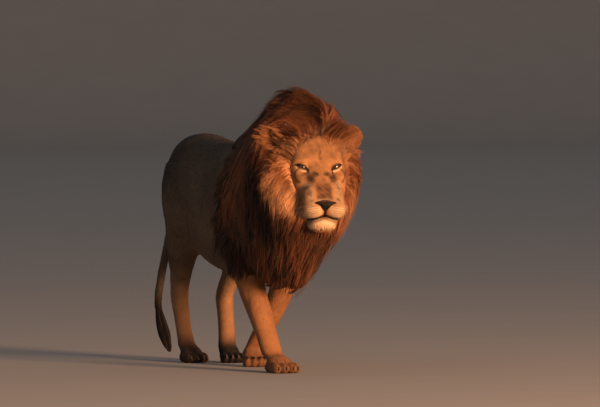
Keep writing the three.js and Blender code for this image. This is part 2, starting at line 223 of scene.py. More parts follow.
def barrel_rows(rows):
    """Rows of [y, x, top, bottom, half width] as [y, x, middle, half width, half height]."""
    return [[y, x, (top + bottom) / 2, wide, (top - bottom) / 2] for y, x, top, bottom, wide in rows]


def turned(pitch=0.0, yaw=0.0, roll=0.0):
    """A turn of `pitch` about X, then `roll` about Y, then `yaw` about Z, in degrees."""
    a, b, c = (math.radians(v) for v in (pitch, roll, yaw))
    about_x = [[1, 0, 0], [0, math.cos(a), -math.sin(a)], [0, math.sin(a), math.cos(a)]]
    about_y = [[math.cos(b), 0, math.sin(b)], [0, 1, 0], [-math.sin(b), 0, math.cos(b)]]
    about_z = [[math.cos(c), -math.sin(c), 0], [math.sin(c), math.cos(c), 0], [0, 0, 1]]
    return np.array(about_z) @ np.array(about_y) @ np.array(about_x)


def egg_field(centre, radii, turn=None, power=2.0):
    """A stretched sphere. The length of the scaled point less one, divided by its slope,
    is nearly the distance. A power above 2 gives a rounded box."""
    centre, radii = np.asarray(centre, float), np.asarray(radii, float)
    turn = np.eye(3) if turn is None else turn

    def field(p):
        scaled = np.abs((p - centre) @ turn) / radii + 1e-6
        if power == 2.0:
            reach = np.sqrt((scaled ** 2).sum(1))
            slope = np.sqrt(((scaled / radii) ** 2).sum(1)) / reach
        else:
            reach = (scaled ** power).sum(1) ** (1 / power)
            slope = np.sqrt(((scaled ** (power - 1) / radii) ** 2).sum(1)) * reach ** (1 - power)
        return (reach - 1) / slope

    return field


def tube_field(path, count=48):
    """A tube along a curve of [x, y, z, radius]: the least distance to any short stretch."""
    path = np.asarray(path, float)
    at = smooth_table(np.column_stack([np.linspace(0, 1, len(path)), path]))
    points = at(np.linspace(0, 1, count))

    def field(p):
        nearest = np.full(len(p), 1e3)
        for start, end in zip(points[:-1], points[1:]):
            run = end[:3] - start[:3]
            t = np.clip((p - start[:3]) @ run / (run @ run), 0, 1)
            gap = np.linalg.norm(p - start[:3] - t[:, None] * run, axis=1)
            nearest = np.minimum(nearest, gap - start[3] - t * (end[3] - start[3]))
        return nearest

    return field


def within(field, low, high, far=60.0):
    """The field inside a box. Outside, it is the distance to the box plus `far`."""
    low, high = np.asarray(low, float), np.asarray(high, float)

    def boxed(p):
        outside = np.linalg.norm(np.maximum(np.maximum(low - p, p - high), 0), axis=1)
        near = outside == 0
        value = outside + far
        value[near] = field(p[near])
        return value

    return boxed


print("form tools ready")


# %% [markdown]
# The trunk is a barrel that tucks up behind the ribs, and the neck carries on from it inside
# the mane. Upright ovals along the body give both. Their sizes are those of the solid parts.

# %% Trunk and neck
RUMP_HEIGHT = 1012.0
TRUNK_ROWS = [
    # y, x, top, bottom, half width
    [-600, 0, 900, 520, 120],
    [-520, 0, 985, 440, 175],
    [-400, 0, 1022, 392, 198],
    [-250, 0, 1003, 378, 206],
    [-80, 0, 975, 382, 204],
    [80, 0, 974, 400, 196],
    [230, 0, 990, 432, 182],
    [340, 0, 1004, 480, 172],
    [440, 0, RUMP_HEIGHT, 530, 168],
    [540, 0, 996, 580, 150],
    [610, 0, 952, 650, 112],
    [650, 0, 905, 720, 62],
]
NECK_ROWS = [
    [-960, -42, 1000, 700, 100],
    [-880, -36, 1010, 660, 118],
    [-760, -22, 1016, 600, 132],
    [-640, -10, 1016, 540, 146],
    [-500, 0, 1005, 480, 158],
    [-380, 0, 990, 450, 160],
]
trunk_field = loft_field(barrel_rows(TRUNK_ROWS), along=1, full=2.2)
neck_field = loft_field(barrel_rows(NECK_ROWS), along=1, full=2.1)
print("trunk", trunk_field(np.array([[0.0, 0.0, 700.0]])).round(0), "inside is negative")


# %% [markdown]
# Each leg is a stack of level ovals from wrist or hock up into the trunk. A lion walks on its
# toes: a paw is four toes in a fan over a heel pad. The left forefoot leaves the ground with
# its toes bent under it, so its eggs are turned down.

# %% Legs and paws
LEG_ROWS = {
    # height, x, y, half width, half depth
    "fore_right": [
        [60, -79, -572, 50, 44], [100, -83, -552, 51, 46], [150, -87, -518, 50, 50],
        [200, -92, -484, 52, 56], [256, -98, -450, 56, 62], [310, -107, -422, 58, 68],
        [361, -117, -402, 60, 74], [420, -130, -385, 62, 86], [500, -136, -385, 64, 100],
        [580, -138, -400, 62, 110],
    ],
    "fore_left": [
        [45, 32, -44, 40, 34], [80, 40, -50, 44, 36], [120, 51, -74, 47, 44],
        [160, 62, -102, 48, 50], [210, 77, -133, 50, 56], [260, 92, -158, 53, 60],
        [310, 106, -180, 56, 66], [360, 118, -202, 59, 74], [420, 130, -232, 61, 86],
        [500, 136, -275, 63, 100], [580, 138, -310, 60, 108],
    ],
    "hind_right": [
        [55, -80, 446, 44, 46], [100, -82, 466, 38, 42], [160, -86, 486, 36, 40],
        [220, -89, 502, 37, 44], [275, -92, 514, 38, 57], [340, -99, 492, 42, 60],
        [400, -108, 458, 50, 76], [460, -117, 420, 60, 100], [530, -124, 385, 68, 132],
        [610, -126, 372, 74, 160], [700, -120, 392, 78, 178], [790, -110, 412, 76, 166],
        [870, -95, 430, 66, 128],
    ],
    "hind_left": [
        [50, 70, 352, 44, 44], [90, 74, 366, 40, 42], [150, 78, 382, 38, 42],
        [220, 82, 404, 38, 46], [285, 87, 426, 39, 58], [345, 94, 400, 43, 64],
        [400, 103, 356, 51, 82], [460, 113, 312, 60, 106], [530, 122, 290, 68, 136],
        [610, 126, 298, 74, 160], [700, 120, 338, 78, 178], [790, 110, 378, 76, 166],
        [870, 95, 412, 66, 128],
    ],
}
FLOOR_DIP = 5.0  # how far a pad is sunk into the floor before it is trimmed flat
PAWS = {
    "fore_right": dict(x=-77, y=-612, wide=64, long=150, turn=6, steep=0),
    "fore_left": dict(x=30, y=-52, wide=56, long=104, turn=-4, steep=34),
    "hind_right": dict(x=-78, y=420, wide=55, long=136, turn=4, steep=0),
    "hind_left": dict(x=70, y=330, wide=52, long=118, turn=-4, steep=14),
}
TOE_PLACES = (-0.72, -0.26, 0.26, 0.72)  # across the paw, as shares of its half width


def paw_frame(paw):
    """Where the paw's own frame lies: its turn and its origin."""
    return turned(yaw=paw["turn"]), np.array([paw["x"], paw["y"], -FLOOR_DIP])


def toe_centre(paw, place):
    """The outer toes lie farther back than the middle ones."""
    reach = paw["long"] * (0.5 - 0.22 * place * place)
    return np.array([place * paw["wide"], -reach, 24.0])


def paw_field(paw):
    """Four toes melted a little, heel and arch melted more, in the paw's own frame."""
    spin, origin = paw_frame(paw)
    wide, long, steep = paw["wide"], paw["long"], paw["steep"]
    toes = [
        egg_field(toe_centre(paw, place), [wide * 0.3, long * 0.3, 27], turned(-steep))
        for place in TOE_PLACES
    ]
    heel = egg_field([0, long * 0.12, 26 + steep * 0.5], [wide * 0.72, long * 0.4, 31])
    arch = egg_field([0, -long * 0.12, 46], [wide * 0.84, long * 0.44, 34], turned(18 + steep))

    def field(p):
        own = (p - origin) @ spin
        foot = soft_min(heel(own), arch(own), 24)
        for toe in toes:
            foot = soft_min(foot, toe(own), 9)
        return foot

    return within(field, origin - 150, origin + 150)


LEGS = {name: loft_field(rows, along=2) for name, rows in LEG_ROWS.items()}
print("legs", list(LEGS))


# %% [markdown]
# The tail hangs from the rump with a slight swing and ends in a tuft. Here it is a tapering
# tube along a smooth curve. The tuft's hair is grown later.

# %% Tail
TAIL_PATH = [
    # x, y, z, radius
    [0, 560, 905, 34], [-4, 640, 872, 32], [-16, 700, 780, 28], [-40, 724, 640, 25],
    [-68, 728, 500, 23], [-96, 730, 370, 22], [-112, 728, 260, 21], [-106, 716, 180, 19],
]
TUFT_PATH = [
    [-112, 726, 245, 23], [-107, 717, 195, 28], [-100, 708, 148, 30], [-92, 697, 104, 28],
    [-84, 684, 64, 20], [-79, 672, 36, 6],
]
tail_field = within(tube_field(TAIL_PATH), [-170, 500, 150], [60, 790, 960])


# %% [markdown]
# The head gets the most care. Broad forms come first: braincase, forehead, the wide flat
# bridge of a lion's nose, lip pads, cheeks, chin and jaw. Then the finer ones are added or
# carved: eye sockets, lids with a slanting opening, the groove of the lip and of the mouth.

# %% Head forms
def both_sides(centre, radii, melt, yaw=0.0):
    """The same egg on each side of the face."""
    x, y, z = centre
    return [(egg_field([s * x, y, z], radii, turned(yaw=s * yaw)), melt) for s in (-1, 1)]


HEAD_FORMS = [
    (egg_field([0, -120, 34], [120, 118, 100]), 1),  # braincase
    (egg_field([0, -62, 30], [104, 58, 92], turned(34), 2.4), 30),  # forehead
    *both_sides([58, -22, 28], [40, 30, 18], 22, yaw=-20),  # brow
    (egg_field([0, 36, -94], [51, 124, 56], turned(-50), 3.0), 28),  # bridge and muzzle
    *both_sides([45, 98, -176], [49, 56, 43], 20, yaw=-10),  # lip pad
    *both_sides([50, 44, -132], [42, 72, 60], 34, yaw=-6),  # side of the muzzle
    *both_sides([88, -52, -40], [38, 72, 48], 34, yaw=12),  # cheekbone
    *both_sides([76, -76, -120], [52, 84, 84], 44),  # cheek
    *both_sides([64, 0, -74], [40, 46, 54], 34),  # below the eye
    *both_sides([54, 6, -176], [44, 72, 48], 36, yaw=6),  # corner of the mouth
    (egg_field([0, 74, -231], [56, 46, 34], power=2.4), 16),  # chin
    (egg_field([0, -10, -204], [72, 104, 52]), 34),  # jaw
    (egg_field([0, -130, -140], [92, 100, 96]), 50),  # throat
]
EYE_SLANT = math.radians(24)  # the inner corner lies lower than the outer one
EYE_YAW = math.radians(14)  # each eye looks a little outwards


def eye_axes(s):
    """Along the lids, out of the eye, and up across the lids, for side s."""
    out = np.array([s * math.sin(EYE_YAW), math.cos(EYE_YAW), 0])
    level = np.array([s * math.cos(EYE_YAW), -math.sin(EYE_YAW), 0])
    along = level * math.cos(EYE_SLANT) + np.array([0, 0, math.sin(EYE_SLANT)])
    up = np.cross(along, out) * s
    return along, out, up / np.linalg.norm(up)


def eye_distance(local, s):
    """How far points of the head lie from the middle of the eye on side s."""
    return np.linalg.norm(local - [s * EYE_SPREAD, EYE_DEPTH, 0], axis=1)


LID_THICK = 3.5
OPENING_LONG = 19.5  # half of the lids' opening, corner to corner
OPENING_HIGH = 4.4  # half of its height, as the lion squints


def with_lids(p, value):
    """A socket is carved round the eye, a ball a little larger than the eye is added in it,
    and the ball is opened where the height across the lids is under a parabola."""
    for s in (-1, 1):
        away = p - np.array([s * EYE_SPREAD, EYE_DEPTH, 0])
        reach = np.linalg.norm(away, axis=1)
        near = reach < 70
        own, d = away[near], value[near]
        along, out, up = eye_axes(s)
        u, v, w = own @ along, own @ out, own @ up
        socket = np.linalg.norm(own - out * 36, axis=1) - 28
        d = soft_max(d, -socket, 14)
        d = soft_min(d, reach[near] - EYE_RADIUS - LID_THICK, 8)
        d = d + 2.4 * bell(w - 15 + 0.008 * u * u, 3.2) * ramp(np.abs(u), 34, 20) * ramp(v, 0, 8)
        d = d + 2.0 * bell(w + 15 - 0.010 * u * u, 3.4) * ramp(np.abs(u), 34, 20) * ramp(v, 0, 8)
        opening = np.abs(w - 1 + 0.004 * u * u) - OPENING_HIGH * (1 - (u / OPENING_LONG) ** 2)
        opening = np.maximum(np.maximum(opening, 3 - v), reach[near] - 32)
        value[near] = soft_max(d, -opening, 2.4)
    return value


def mouth_height(x):
    """The line where the lips meet: a peak in the middle, then two shallow arcs to the corners."""
    return -205 - 11 * (1 - np.exp(-((x / 28) ** 2))) - 5 * (x / 70) ** 2


def with_grooves(p, value):
    """Narrow valleys: the field is raised by bells across the mouth's line and the lip's cleft."""
    x, y, z = p.T
    front = np.clip((y - 20) / 30, 0, 1)
    mouth = np.exp(-(((z - mouth_height(x)) / 5.0) ** 2)) * np.clip((116 - np.abs(x)) / 24, 0, 1)
    cleft = np.exp(-((x / 4.0) ** 2)) * np.clip((z + 212) / 8, 0, 1) * np.clip((-150 - z) / 10, 0, 1)
    return value + front * (8.5 * mouth + 7 * cleft)


print("head forms", len(HEAD_FORMS))


# %% [markdown]
# A lion's ear is a short round cup. It is an egg with another egg carved out of its front.
# The right one is turned out and back, and the left one stands up.

# %% Ears
EAR_WIDE, EAR_THICK, EAR_TALL = 48, 24, 60  # half sizes of the cup
EAR_MIDDLE = 36  # the cup's middle above its root
EARS = {
    "left": dict(s=-1, at=[128, -96, 84], lean=40, swing=14, hair=16, flow=[-0.2, 0.3, 0.6], clumps=90),
    "right": dict(s=1, at=[134, -90, 84], lean=58, swing=18, hair=58, flow=[0.3, 0.75, 1.0], clumps=60),
}


def ear_pose(ear):
    """The cup's turn and the place of its root, in the head's frame."""
    s = ear["s"]
    pose = turned(pitch=8, roll=s * ear["lean"], yaw=-s * ear["swing"])
    return pose, np.array([s * ear["at"][0], ear["at"][1], ear["at"][2]])


def ear_places(local, ear):
    """Points of the head in the ear's own frame."""
    pose, root = ear_pose(ear)
    return (local - root) @ pose


def ear_size(own, deep=math.inf):
    """How far points lie from the cup's middle, where 1 is its rim: a scaled length. The way
    through the cup counts only when its depth is given."""
    across, up = own[:, 0] / EAR_WIDE, (own[:, 2] - EAR_MIDDLE) / EAR_TALL
    return np.sqrt(across ** 2 + (own[:, 1] / deep) ** 2 + up ** 2)


def near_ears(local):
    """The smaller of the two ears' sizes, 40 deep, so that 1 lies just off the cups."""
    return np.min([ear_size(ear_places(local, ear), deep=40) for ear in EARS.values()], 0)


def ear_field(ear):
    """A stretched sphere with a smaller one carved out of its front."""
    pose, root = ear_pose(ear)
    shell = egg_field([0, 0, EAR_MIDDLE], [EAR_WIDE, EAR_THICK, EAR_TALL])
    hollow = egg_field([0, 26, 46], [35, 20, 44])

    def field(p):
        own = (p - root) @ pose
        return soft_max(shell(own), -hollow(own), 5)

    return within(field, root - 110, root + 110)


EAR_FIELDS = [ear_field(ear) for ear in EARS.values()]


def head_field(body_points):
    """All head forms melted in turn, then lids, grooves and ears, in the head's own frame."""
    p = to_head(body_points)
    value = HEAD_FORMS[0][0](p)
    for form, melt in HEAD_FORMS[1:]:
        value = soft_min(value, form(p), melt)
    value = with_grooves(p, with_lids(p, value))
    for ear in EAR_FIELDS:
        value = soft_min(value, ear(p), 14)
    return value


# %% [markdown]
# The coat's depth decides how far the skin lies inside the solid parts. It is thin on the
# face and feet and thicker on the body. Under the skin, muscles and bones show: the shoulder
# blade, the elbow, the hip, the hollow of the flank, tendons. Each is a soft bump or hollow,
# a bell-shaped change of the field, placed by its centre and reach and mirrored where paired.

# %% The skin's field
BODY_COAT = 5.0
LEG_COAT = 3.0
TAIL_COAT = 5.0
PAIRED_BUMPS = [
    # x, y on the right, y on the left, z, reach in x, y, z, height
    [185, -330, -330, 830, 60, 45, 130, 5],  # shoulder blade
    [190, -400, -340, 610, 60, 75, 75, 7],  # upper arm
    [195, -250, -220, 640, 60, 26, 120, -6],  # behind the shoulder
    [180, 250, 220, 690, 60, 55, 130, -8],  # hollow of the flank
    [120, 400, 400, 960, 60, 50, 45, 6],  # hip
    [170, 340, 270, 560, 60, 60, 70, 6],  # knee
    [190, 470, 470, 640, 50, 22, 130, -5],  # back edge of the thigh's front muscle
    [150, -320, -250, 470, 50, 26, 60, 5],  # elbow
]
SINGLE_BUMPS = [
    # x, y, z, reach in x, y, z, height
    [-160, -455, 330, 30, 22, 90, -4],  # groove along the forearm
    [-90, 500, 420, 40, 18, 80, -5],  # beside the heel's tendon
    [-140, 490, 420, 30, 18, 80, -5],
    [80, 410, 400, 40, 18, 80, -5],
    [130, 400, 400, 30, 18, 80, -5],
]
BUMPS = [
    [x, y, *rest] for wide, right, left, *rest in PAIRED_BUMPS
    for x, y in ((-wide, right), (wide, left))
] + SINGLE_BUMPS


def bumps_at(p):
    """Bell-shaped heights: each falls off with the squared distance over its reach."""
    height = np.zeros(len(p))
    for x, y, z, reach_x, reach_y, reach_z, amount in BUMPS:
        away = (p - [x, y, z]) / [reach_x, reach_y, reach_z]
        squared = (away ** 2).sum(1)
        near = squared < 9
        height[near] += amount * np.exp(-squared[near])
    return height


def ribs_at(p):
    """Faint slanting ribs on both sides of the chest: a cosine wave within a bell."""
    _, y, z = p.T
    wave = np.cos((y + 0.25 * (z - 600)) * 2 * math.pi / 46)
    place = np.exp(-(((y + 20) / 150) ** 2) - ((z - 640) / 110) ** 2)
    return 1.3 * wave * place


HEAD_LOW, HEAD_HIGH = np.array([-262.0, -1180, 560]), np.array([178.0, -720, 1075])
LEG_BOXES = {
    "fore_right": ([-220, -640, 55], [-50, -260, 600]),
    "fore_left": ([-10, -440, 40], [220, 20, 600]),
    "hind_right": ([-210, 230, 50], [-30, 620, 880]),
    "hind_left": ([20, 150, 45], [210, 600, 880]),
}
leg_fields = {name: within(LEGS[name], *LEG_BOXES[name]) for name in LEGS}
paw_fields = {name: paw_field(paw) for name, paw in PAWS.items()}
boxed_head = within(head_field, HEAD_LOW, HEAD_HIGH, far=20)


def skin_field(p):
    """Trunk, neck, legs, paws, tail and head, each drawn in by its coat and melted together."""
    body = soft_min(trunk_field(p), neck_field(p), 70) + BODY_COAT
    for name in LEGS:
        upper = np.clip((p[:, 2] - 300) / 250, 0, 1)
        leg = leg_fields[name](p) + LEG_COAT + (BODY_COAT - LEG_COAT) * upper
        paw = np.maximum(paw_fields[name](p) + 1.5, 1 - p[:, 2])
        body = soft_min(body, soft_min(leg, paw, 22), 46)
    body = body - bumps_at(p) - ribs_at(p)
    body = soft_min(body, tail_field(p) + TAIL_COAT, 34)
    return soft_min(body, boxed_head(p), 40)


# %% [markdown]
# The surface is drawn on a grid of cells that are fine where detail is, on the face and the
# paws, and wide elsewhere. In each cell that the surface crosses, one corner point is set at
# the mean of the crossings, and points of neighbouring cells are joined into squares. One
# step along the field's slope then puts each point on the surface.

# %% Drawing a field's surface
def grid_lines(low, high, fine_low, fine_high, fine, wide, growth=1.12):
    """Lines `fine` apart between two places, and farther apart by a constant ratio beyond."""
    lines = list(np.arange(fine_low, fine_high + fine, fine))
    step = fine
    while lines[-1] < high:
        step = min(step * growth, wide)
        lines.append(lines[-1] + step)
    step = fine
    while lines[0] > low:
        step = min(step * growth, wide)
        lines.insert(0, lines[0] - step)
    while len(lines) % 4 != 1:
        lines.append(lines[-1] + step)
    return np.array(lines)


def in_chunks(field, points, size=150000):
    """The field at very many points, asked in turns to save memory."""
    return np.concatenate([field(points[i:i + size]) for i in range(0, len(points), size)])


def sample(field, axes):
    """The field on the grid. Every fourth line is asked first. The points between are asked
    only in blocks whose corners lie nearer to the surface than the block is wide."""
    rough_axes = [a[::4] for a in axes]
    rough_points = np.stack(np.meshgrid(*rough_axes, indexing="ij"), -1)
    rough = in_chunks(field, rough_points.reshape(-1, 3)).reshape(rough_points.shape[:3])
    widths = np.meshgrid(*[np.diff(a) for a in rough_axes], indexing="ij")
    diagonal = np.sqrt(sum(w * w for w in widths))
    nearest = np.full(diagonal.shape, 1e9)
    shape = diagonal.shape
    for i, j, k in np.ndindex(2, 2, 2):
        corner = rough[i:i + shape[0], j:j + shape[1], k:k + shape[2]]
        nearest = np.minimum(nearest, np.abs(corner))
    near = nearest < 0.8 * diagonal
    values, asked = rough, np.zeros([len(a) for a in axes], bool)
    for axis in range(3):
        values = np.repeat(values, 4, axis=axis)
        near = np.repeat(near, 4, axis=axis)
    values = values[:len(axes[0]), :len(axes[1]), :len(axes[2])].copy()
    for i, j, k in np.ndindex(2, 2, 2):
        asked[i:i + near.shape[0], j:j + near.shape[1], k:k + near.shape[2]] |= near
    at = np.nonzero(asked)
    points = np.stack([axes[axis][at[axis]] for axis in range(3)], -1)
    values[at] = in_chunks(field, points)
    return values


def surface(values, axes):
    """One point per cell that has corners on both sides, at the mean of the crossings on the
    cell's edges, and one square round each grid edge whose ends lie on different sides."""
    inside = values < 0
    cells = [n - 1 for n in values.shape]
    count = np.zeros(cells, np.uint8)
    for i, j, k in np.ndindex(2, 2, 2):
        count += inside[i:i + cells[0], j:j + cells[1], k:k + cells[2]]
    at = np.stack(np.nonzero((count > 0) & (count < 8)), -1)
    number = np.full(cells, -1)
    number[tuple(at.T)] = np.arange(len(at))
    total, crossings = np.zeros((len(at), 3)), np.zeros(len(at))
    for corner in np.ndindex(2, 2, 2):
        for axis in range(3):
            if corner[axis] == 1:
                continue
            start = at + corner
            end = start + np.eye(3, dtype=int)[axis]
            a, b = values[tuple(start.T)], values[tuple(end.T)]
            crossed = (a < 0) != (b < 0)
            t = np.where(crossed, a / np.where(crossed, a - b, 1), 0)[:, None]
            from_point = np.stack([axes[n][start[:, n]] for n in range(3)], -1)
            to_point = np.stack([axes[n][end[:, n]] for n in range(3)], -1)
            total += np.where(crossed[:, None], from_point + (to_point - from_point) * t, 0)
            crossings += crossed
    squares = []
    for axis in range(3):
        first, second = (axis + 1) % 3, (axis + 2) % 3
        moved = np.eye(3, dtype=int)
        lower = inside[tuple(slice(0, -1) if n == axis else slice(1, -1) for n in range(3))]
        upper = inside[tuple(slice(1, None) if n == axis else slice(1, -1) for n in range(3))]
        place = np.stack(np.nonzero(lower != upper), -1) + 1 - moved[axis]
        ring = [place - moved[first] - moved[second], place - moved[second], place, place - moved[first]]
        square = np.stack([number[tuple(r.T)] for r in ring], -1)
        inward = ~inside[tuple(place.T)]
        square[inward] = square[inward][:, ::-1]
        squares.append(square)
    squares = np.concatenate(squares)
    return total / crossings[:, None], squares[(squares >= 0).all(1)]


def slope_of(field, points, step=1.0):
    """The field's slope by differences over a small step each way."""
    slopes = []
    for axis in np.eye(3) * step:
        slopes.append((in_chunks(field, points + axis) - in_chunks(field, points - axis)) / (2 * step))
    return np.stack(slopes, -1)


def settle(field, points):
    """One step to the surface along the slope, and the outward directions there."""
    slope = slope_of(field, points)
    size = np.linalg.norm(slope, axis=1, keepdims=True) + 1e-9
    move = -in_chunks(field, points)[:, None] * slope / np.maximum(size, 0.5) ** 2
    reach = np.linalg.norm(move, axis=1, keepdims=True)
    return points + move * np.minimum(1, 2.5 / (reach + 1e-9)), slope / size


# %% [markdown]
# The face needs cells of two millimetres, and the body can do with eight. So the head and the
# body are drawn apart, on each side of a plane across the neck deep in the mane, and their
# two open rims are joined by one band of triangles. The result is one closed skin.

# %% One skin
NECK_PLANE = -800.0
NECK_MIDDLE = (-25.0, 810.0)


def rim(squares, points):
    """The loose edges' points, in order of their angle round the neck."""
    edges = np.concatenate([squares[:, [i, (i + 1) % 4]] for i in range(4)])
    keys = np.sort(edges, axis=1)
    _, first, counts = np.unique(keys, axis=0, return_index=True, return_counts=True)
    loose = np.unique(edges[first[counts == 1]])
    loose = loose[np.abs(points[loose, 1] - NECK_PLANE) < 20]
    angles = np.arctan2(points[loose, 2] - NECK_MIDDLE[1], points[loose, 0] - NECK_MIDDLE[0])
    order = np.argsort(angles)
    return loose[order], angles[order]


def joined_rims(a, a_angles, b, b_angles):
    """A band between two rings. The ring whose next point comes first in angle steps on."""
    triangles = []
    i = j = 0
    while i < len(a) or j < len(b):
        step_a = j >= len(b) or (i < len(a) and a_angles[i] <= b_angles[j])
        if step_a:
            triangles.append([a[i - 1], a[i], b[j - 1]])
            i += 1
        else:
            triangles.append([a[i - 1], b[j], b[j - 1]])
            j += 1
    return triangles


head_axes = [
    grid_lines(-262, 178, EYE_POINT[0] - 100, EYE_POINT[0] + 100, 2.55, 8),
    grid_lines(-1180, NECK_PLANE, -1160, -1000, 2.55, 9),
    grid_lines(560, 1075, 655, 925, 2.55, 8),
]
body_axes = [
    grid_lines(-225, 225, -10, 10, 7, 7),
    grid_lines(NECK_PLANE, 775, 0, 10, 8.5, 8.5),
    grid_lines(-6, 1060, 0, 70, 4.5, 11),
]
head_axes[1] = head_axes[1][head_axes[1] < NECK_PLANE]
body_axes[1] = body_axes[1][body_axes[1] > NECK_PLANE]
head_axes[1] = head_axes[1][(len(head_axes[1]) - 1) % 4:]
body_axes[1] = body_axes[1][:len(body_axes[1]) - (len(body_axes[1]) - 1) % 4]
head_points, head_squares = surface(sample(skin_field, head_axes), head_axes)
body_points, body_squares = surface(sample(skin_field, body_axes), body_axes)
head_rim, head_angles = rim(head_squares, head_points)
body_rim, body_angles = rim(body_squares, body_points)
band = joined_rims(head_rim, head_angles, body_rim + len(head_points), body_angles)
skin_points = np.concatenate([head_points, body_points])
skin_points, skin_normals = settle(skin_field, skin_points)
skin_points[:, 2] = np.maximum(skin_points[:, 2], 0)
skin_squares = np.concatenate([head_squares, body_squares + len(head_points)])
print("head", len(head_squares), "body", len(body_squares))
print("skin", len(skin_points), "points", len(skin_squares), "squares", len(band), "in the band", taken())


# %% [markdown]
# Each part of the skin has its own lie of the hair and its own marks, so every point is first
# given to the part whose field is the smallest there. The same fields also tell which way is
# out. Head and ears share one part, told apart by place.

# %% Parts of the skin
PARTS = ["trunk", "fore_right", "fore_left", "hind_right", "hind_left", "tail", "head"]


def part_of(p):
    """The number of the part that each point belongs to."""
    values = [soft_min(trunk_field(p), neck_field(p), 70)]
    values += [np.minimum(leg_fields[name](p), paw_fields[name](p)) - 8 for name in LEGS]
    values += [tail_field(p), boxed_head(p)]
    return np.argmin(np.stack(values, -1), axis=1)


def unit(v):
    """Each vector divided by its length."""
    return v / (np.linalg.norm(v, axis=-1, keepdims=True) + 1e-9)


def on_surface(direction, normal):
    """A direction laid down on the surface."""
    return unit(direction - (direction * normal).sum(-1, keepdims=True) * normal)


NOSE_TIP = np.array([0.0, 140.0, -150.0])
leg_tables = {name: smooth_table(rows) for name, rows in LEG_ROWS.items()}


def unrolled(p, part):
    """Each part of the skin laid flat, in millimetres: first the way round the part, then the
    way along it. The head opens like a flower round the direction that the face looks in."""
    flat = np.zeros((len(p), 2))
    for number, name in enumerate(PARTS):
        here = part == number
        x, y, z = p[here].T
        if name == "head":
            away = unit(to_head(p[here]) - [0, -60, -60])
            angle = np.arccos(np.clip(away[:, 1], -1, 1))
            flat[here] = unit(away[:, [0, 2]]) * angle[:, None] * 150
            continue
        if name == "trunk":
            angle, radius, along = np.arctan2(x, z - 720), 190, y
        elif name == "tail":
            path = np.array(TAIL_PATH)
            middle_x, middle_y = (np.interp(-z, -path[:, 2], path[:, axis]) for axis in (0, 1))
            angle, radius, along = np.arctan2(x - middle_x, middle_y - y), 18, z
        else:
            middle_x, middle_y = leg_tables[name](z)[:, :2].T
            angle, radius, along = np.arctan2(x - middle_x, middle_y - y), 60, z
        flat[here] = np.stack([angle * radius, along], -1)
    return flat


def lie_of_coat(p, normal, part):
    """The way that the hair lies: back along the trunk, down the legs and the tail, forward
    on the feet, and away from the nose on the head, sinking on the cheeks."""
    lie = np.tile([0.0, 1.0, -0.3], (len(p), 1))
    legs = (part >= 1) & (part <= 4)
    lie[legs] = [0, 0.25, -1]
    lie[legs & (p[:, 2] < 62)] = [0, -1, -0.35]
    lie[part == 5] = [0, 0.1, -1]
    head = part == 6
    local = to_head(p[head])
    away = unit(local - NOSE_TIP)
    x, _, z = local.T
    cheek = np.clip((np.abs(x) - 45) / 40, 0, 1) * np.clip((-z - 20) / 60, 0, 1)
    away[:, 2] -= 0.9 * cheek
    chin = np.clip((-195 - z) / 15, 0, 1)[:, None]
    away = away * (1 - chin) + chin * [0, -0.5, -1]
    lie[head] = away @ HEAD_AXES
    return on_surface(lie, normal)


skin_part = part_of(skin_points)
print("points by part", dict(zip(PARTS, np.bincount(skin_part, minlength=len(PARTS)).tolist())))


# %% [markdown]
# A lion is tawny, with black lips and eye rims, sooty patches between eye and nose, a reddish
# bridge, cream under the eyes and on lips and chin, and a black tail tuft. These marks could
# be a painted picture. Here they are amounts worked out from each point's place: how dark,
# how pale and how red the hair is. Some of these amounts are painted shade and painted light,
# noted where they are made. Skin and hair ask the same functions, so they always match.

# %% Marks
def waves(p, size, seed=0.0):
    """Smooth mottling: sines in skewed directions."""
    x, y, z = (p / size).T
    a = np.sin(1.7 * x + 0.9 * y + seed) + np.sin(1.3 * y - 1.1 * z + 2 * seed)
    b = np.sin(0.7 * x + 1.9 * z - seed + 1.5 * np.sin(y)) + np.sin(2.3 * (x - z) + 0.5 * y)
    return (a + b) / 4


WHISKER_ROWS = (-161.0, -171.0, -181.0, -190.0)  # heights at the front of the lip pads


def eye_marks(local, s):
    """Dark round the lids and along a line from each corner, and a bright band below the eye."""
    away = local - [s * EYE_SPREAD, EYE_DEPTH, 0]
    along, out, up = eye_axes(s)
    u, v, t = away @ along, away @ out, away @ up
    front = ramp(v, -12, 2)
    lid = np.abs(t - 1 + 0.004 * u * u) - OPENING_HIGH * np.maximum(1 - (u / 27) ** 2, -1.5)
    rim = 2.2 + 1.8 * ramp(t, -2, 4)
    dark = ramp(v, -6, 4) * ramp(np.linalg.norm(away, axis=1), 48, 38) * ramp(lid, rim + 3, rim)
    outer = bell(t - 2 + 0.6 * (u - 16), 2.6) * ramp(u, 14, 20) * ramp(u, 54, 44)
    inner = bell(t + 5 - 0.55 * (u + 24), 5.0) * ramp(u, -14, -20) * ramp(u, -50, -40)
    dark = np.maximum(dark, 0.9 * front * np.maximum(outer, inner))
    band = bell(t + 13.5 - 0.004 * u * u, 3.8) * ramp(u, -30, -22) * ramp(u, 30, 20) * front
    brow_shade = 0.55 * bell(t - 11, 5) * bell(u + 2, 22) * front
    return np.maximum(dark, brow_shade), band, band


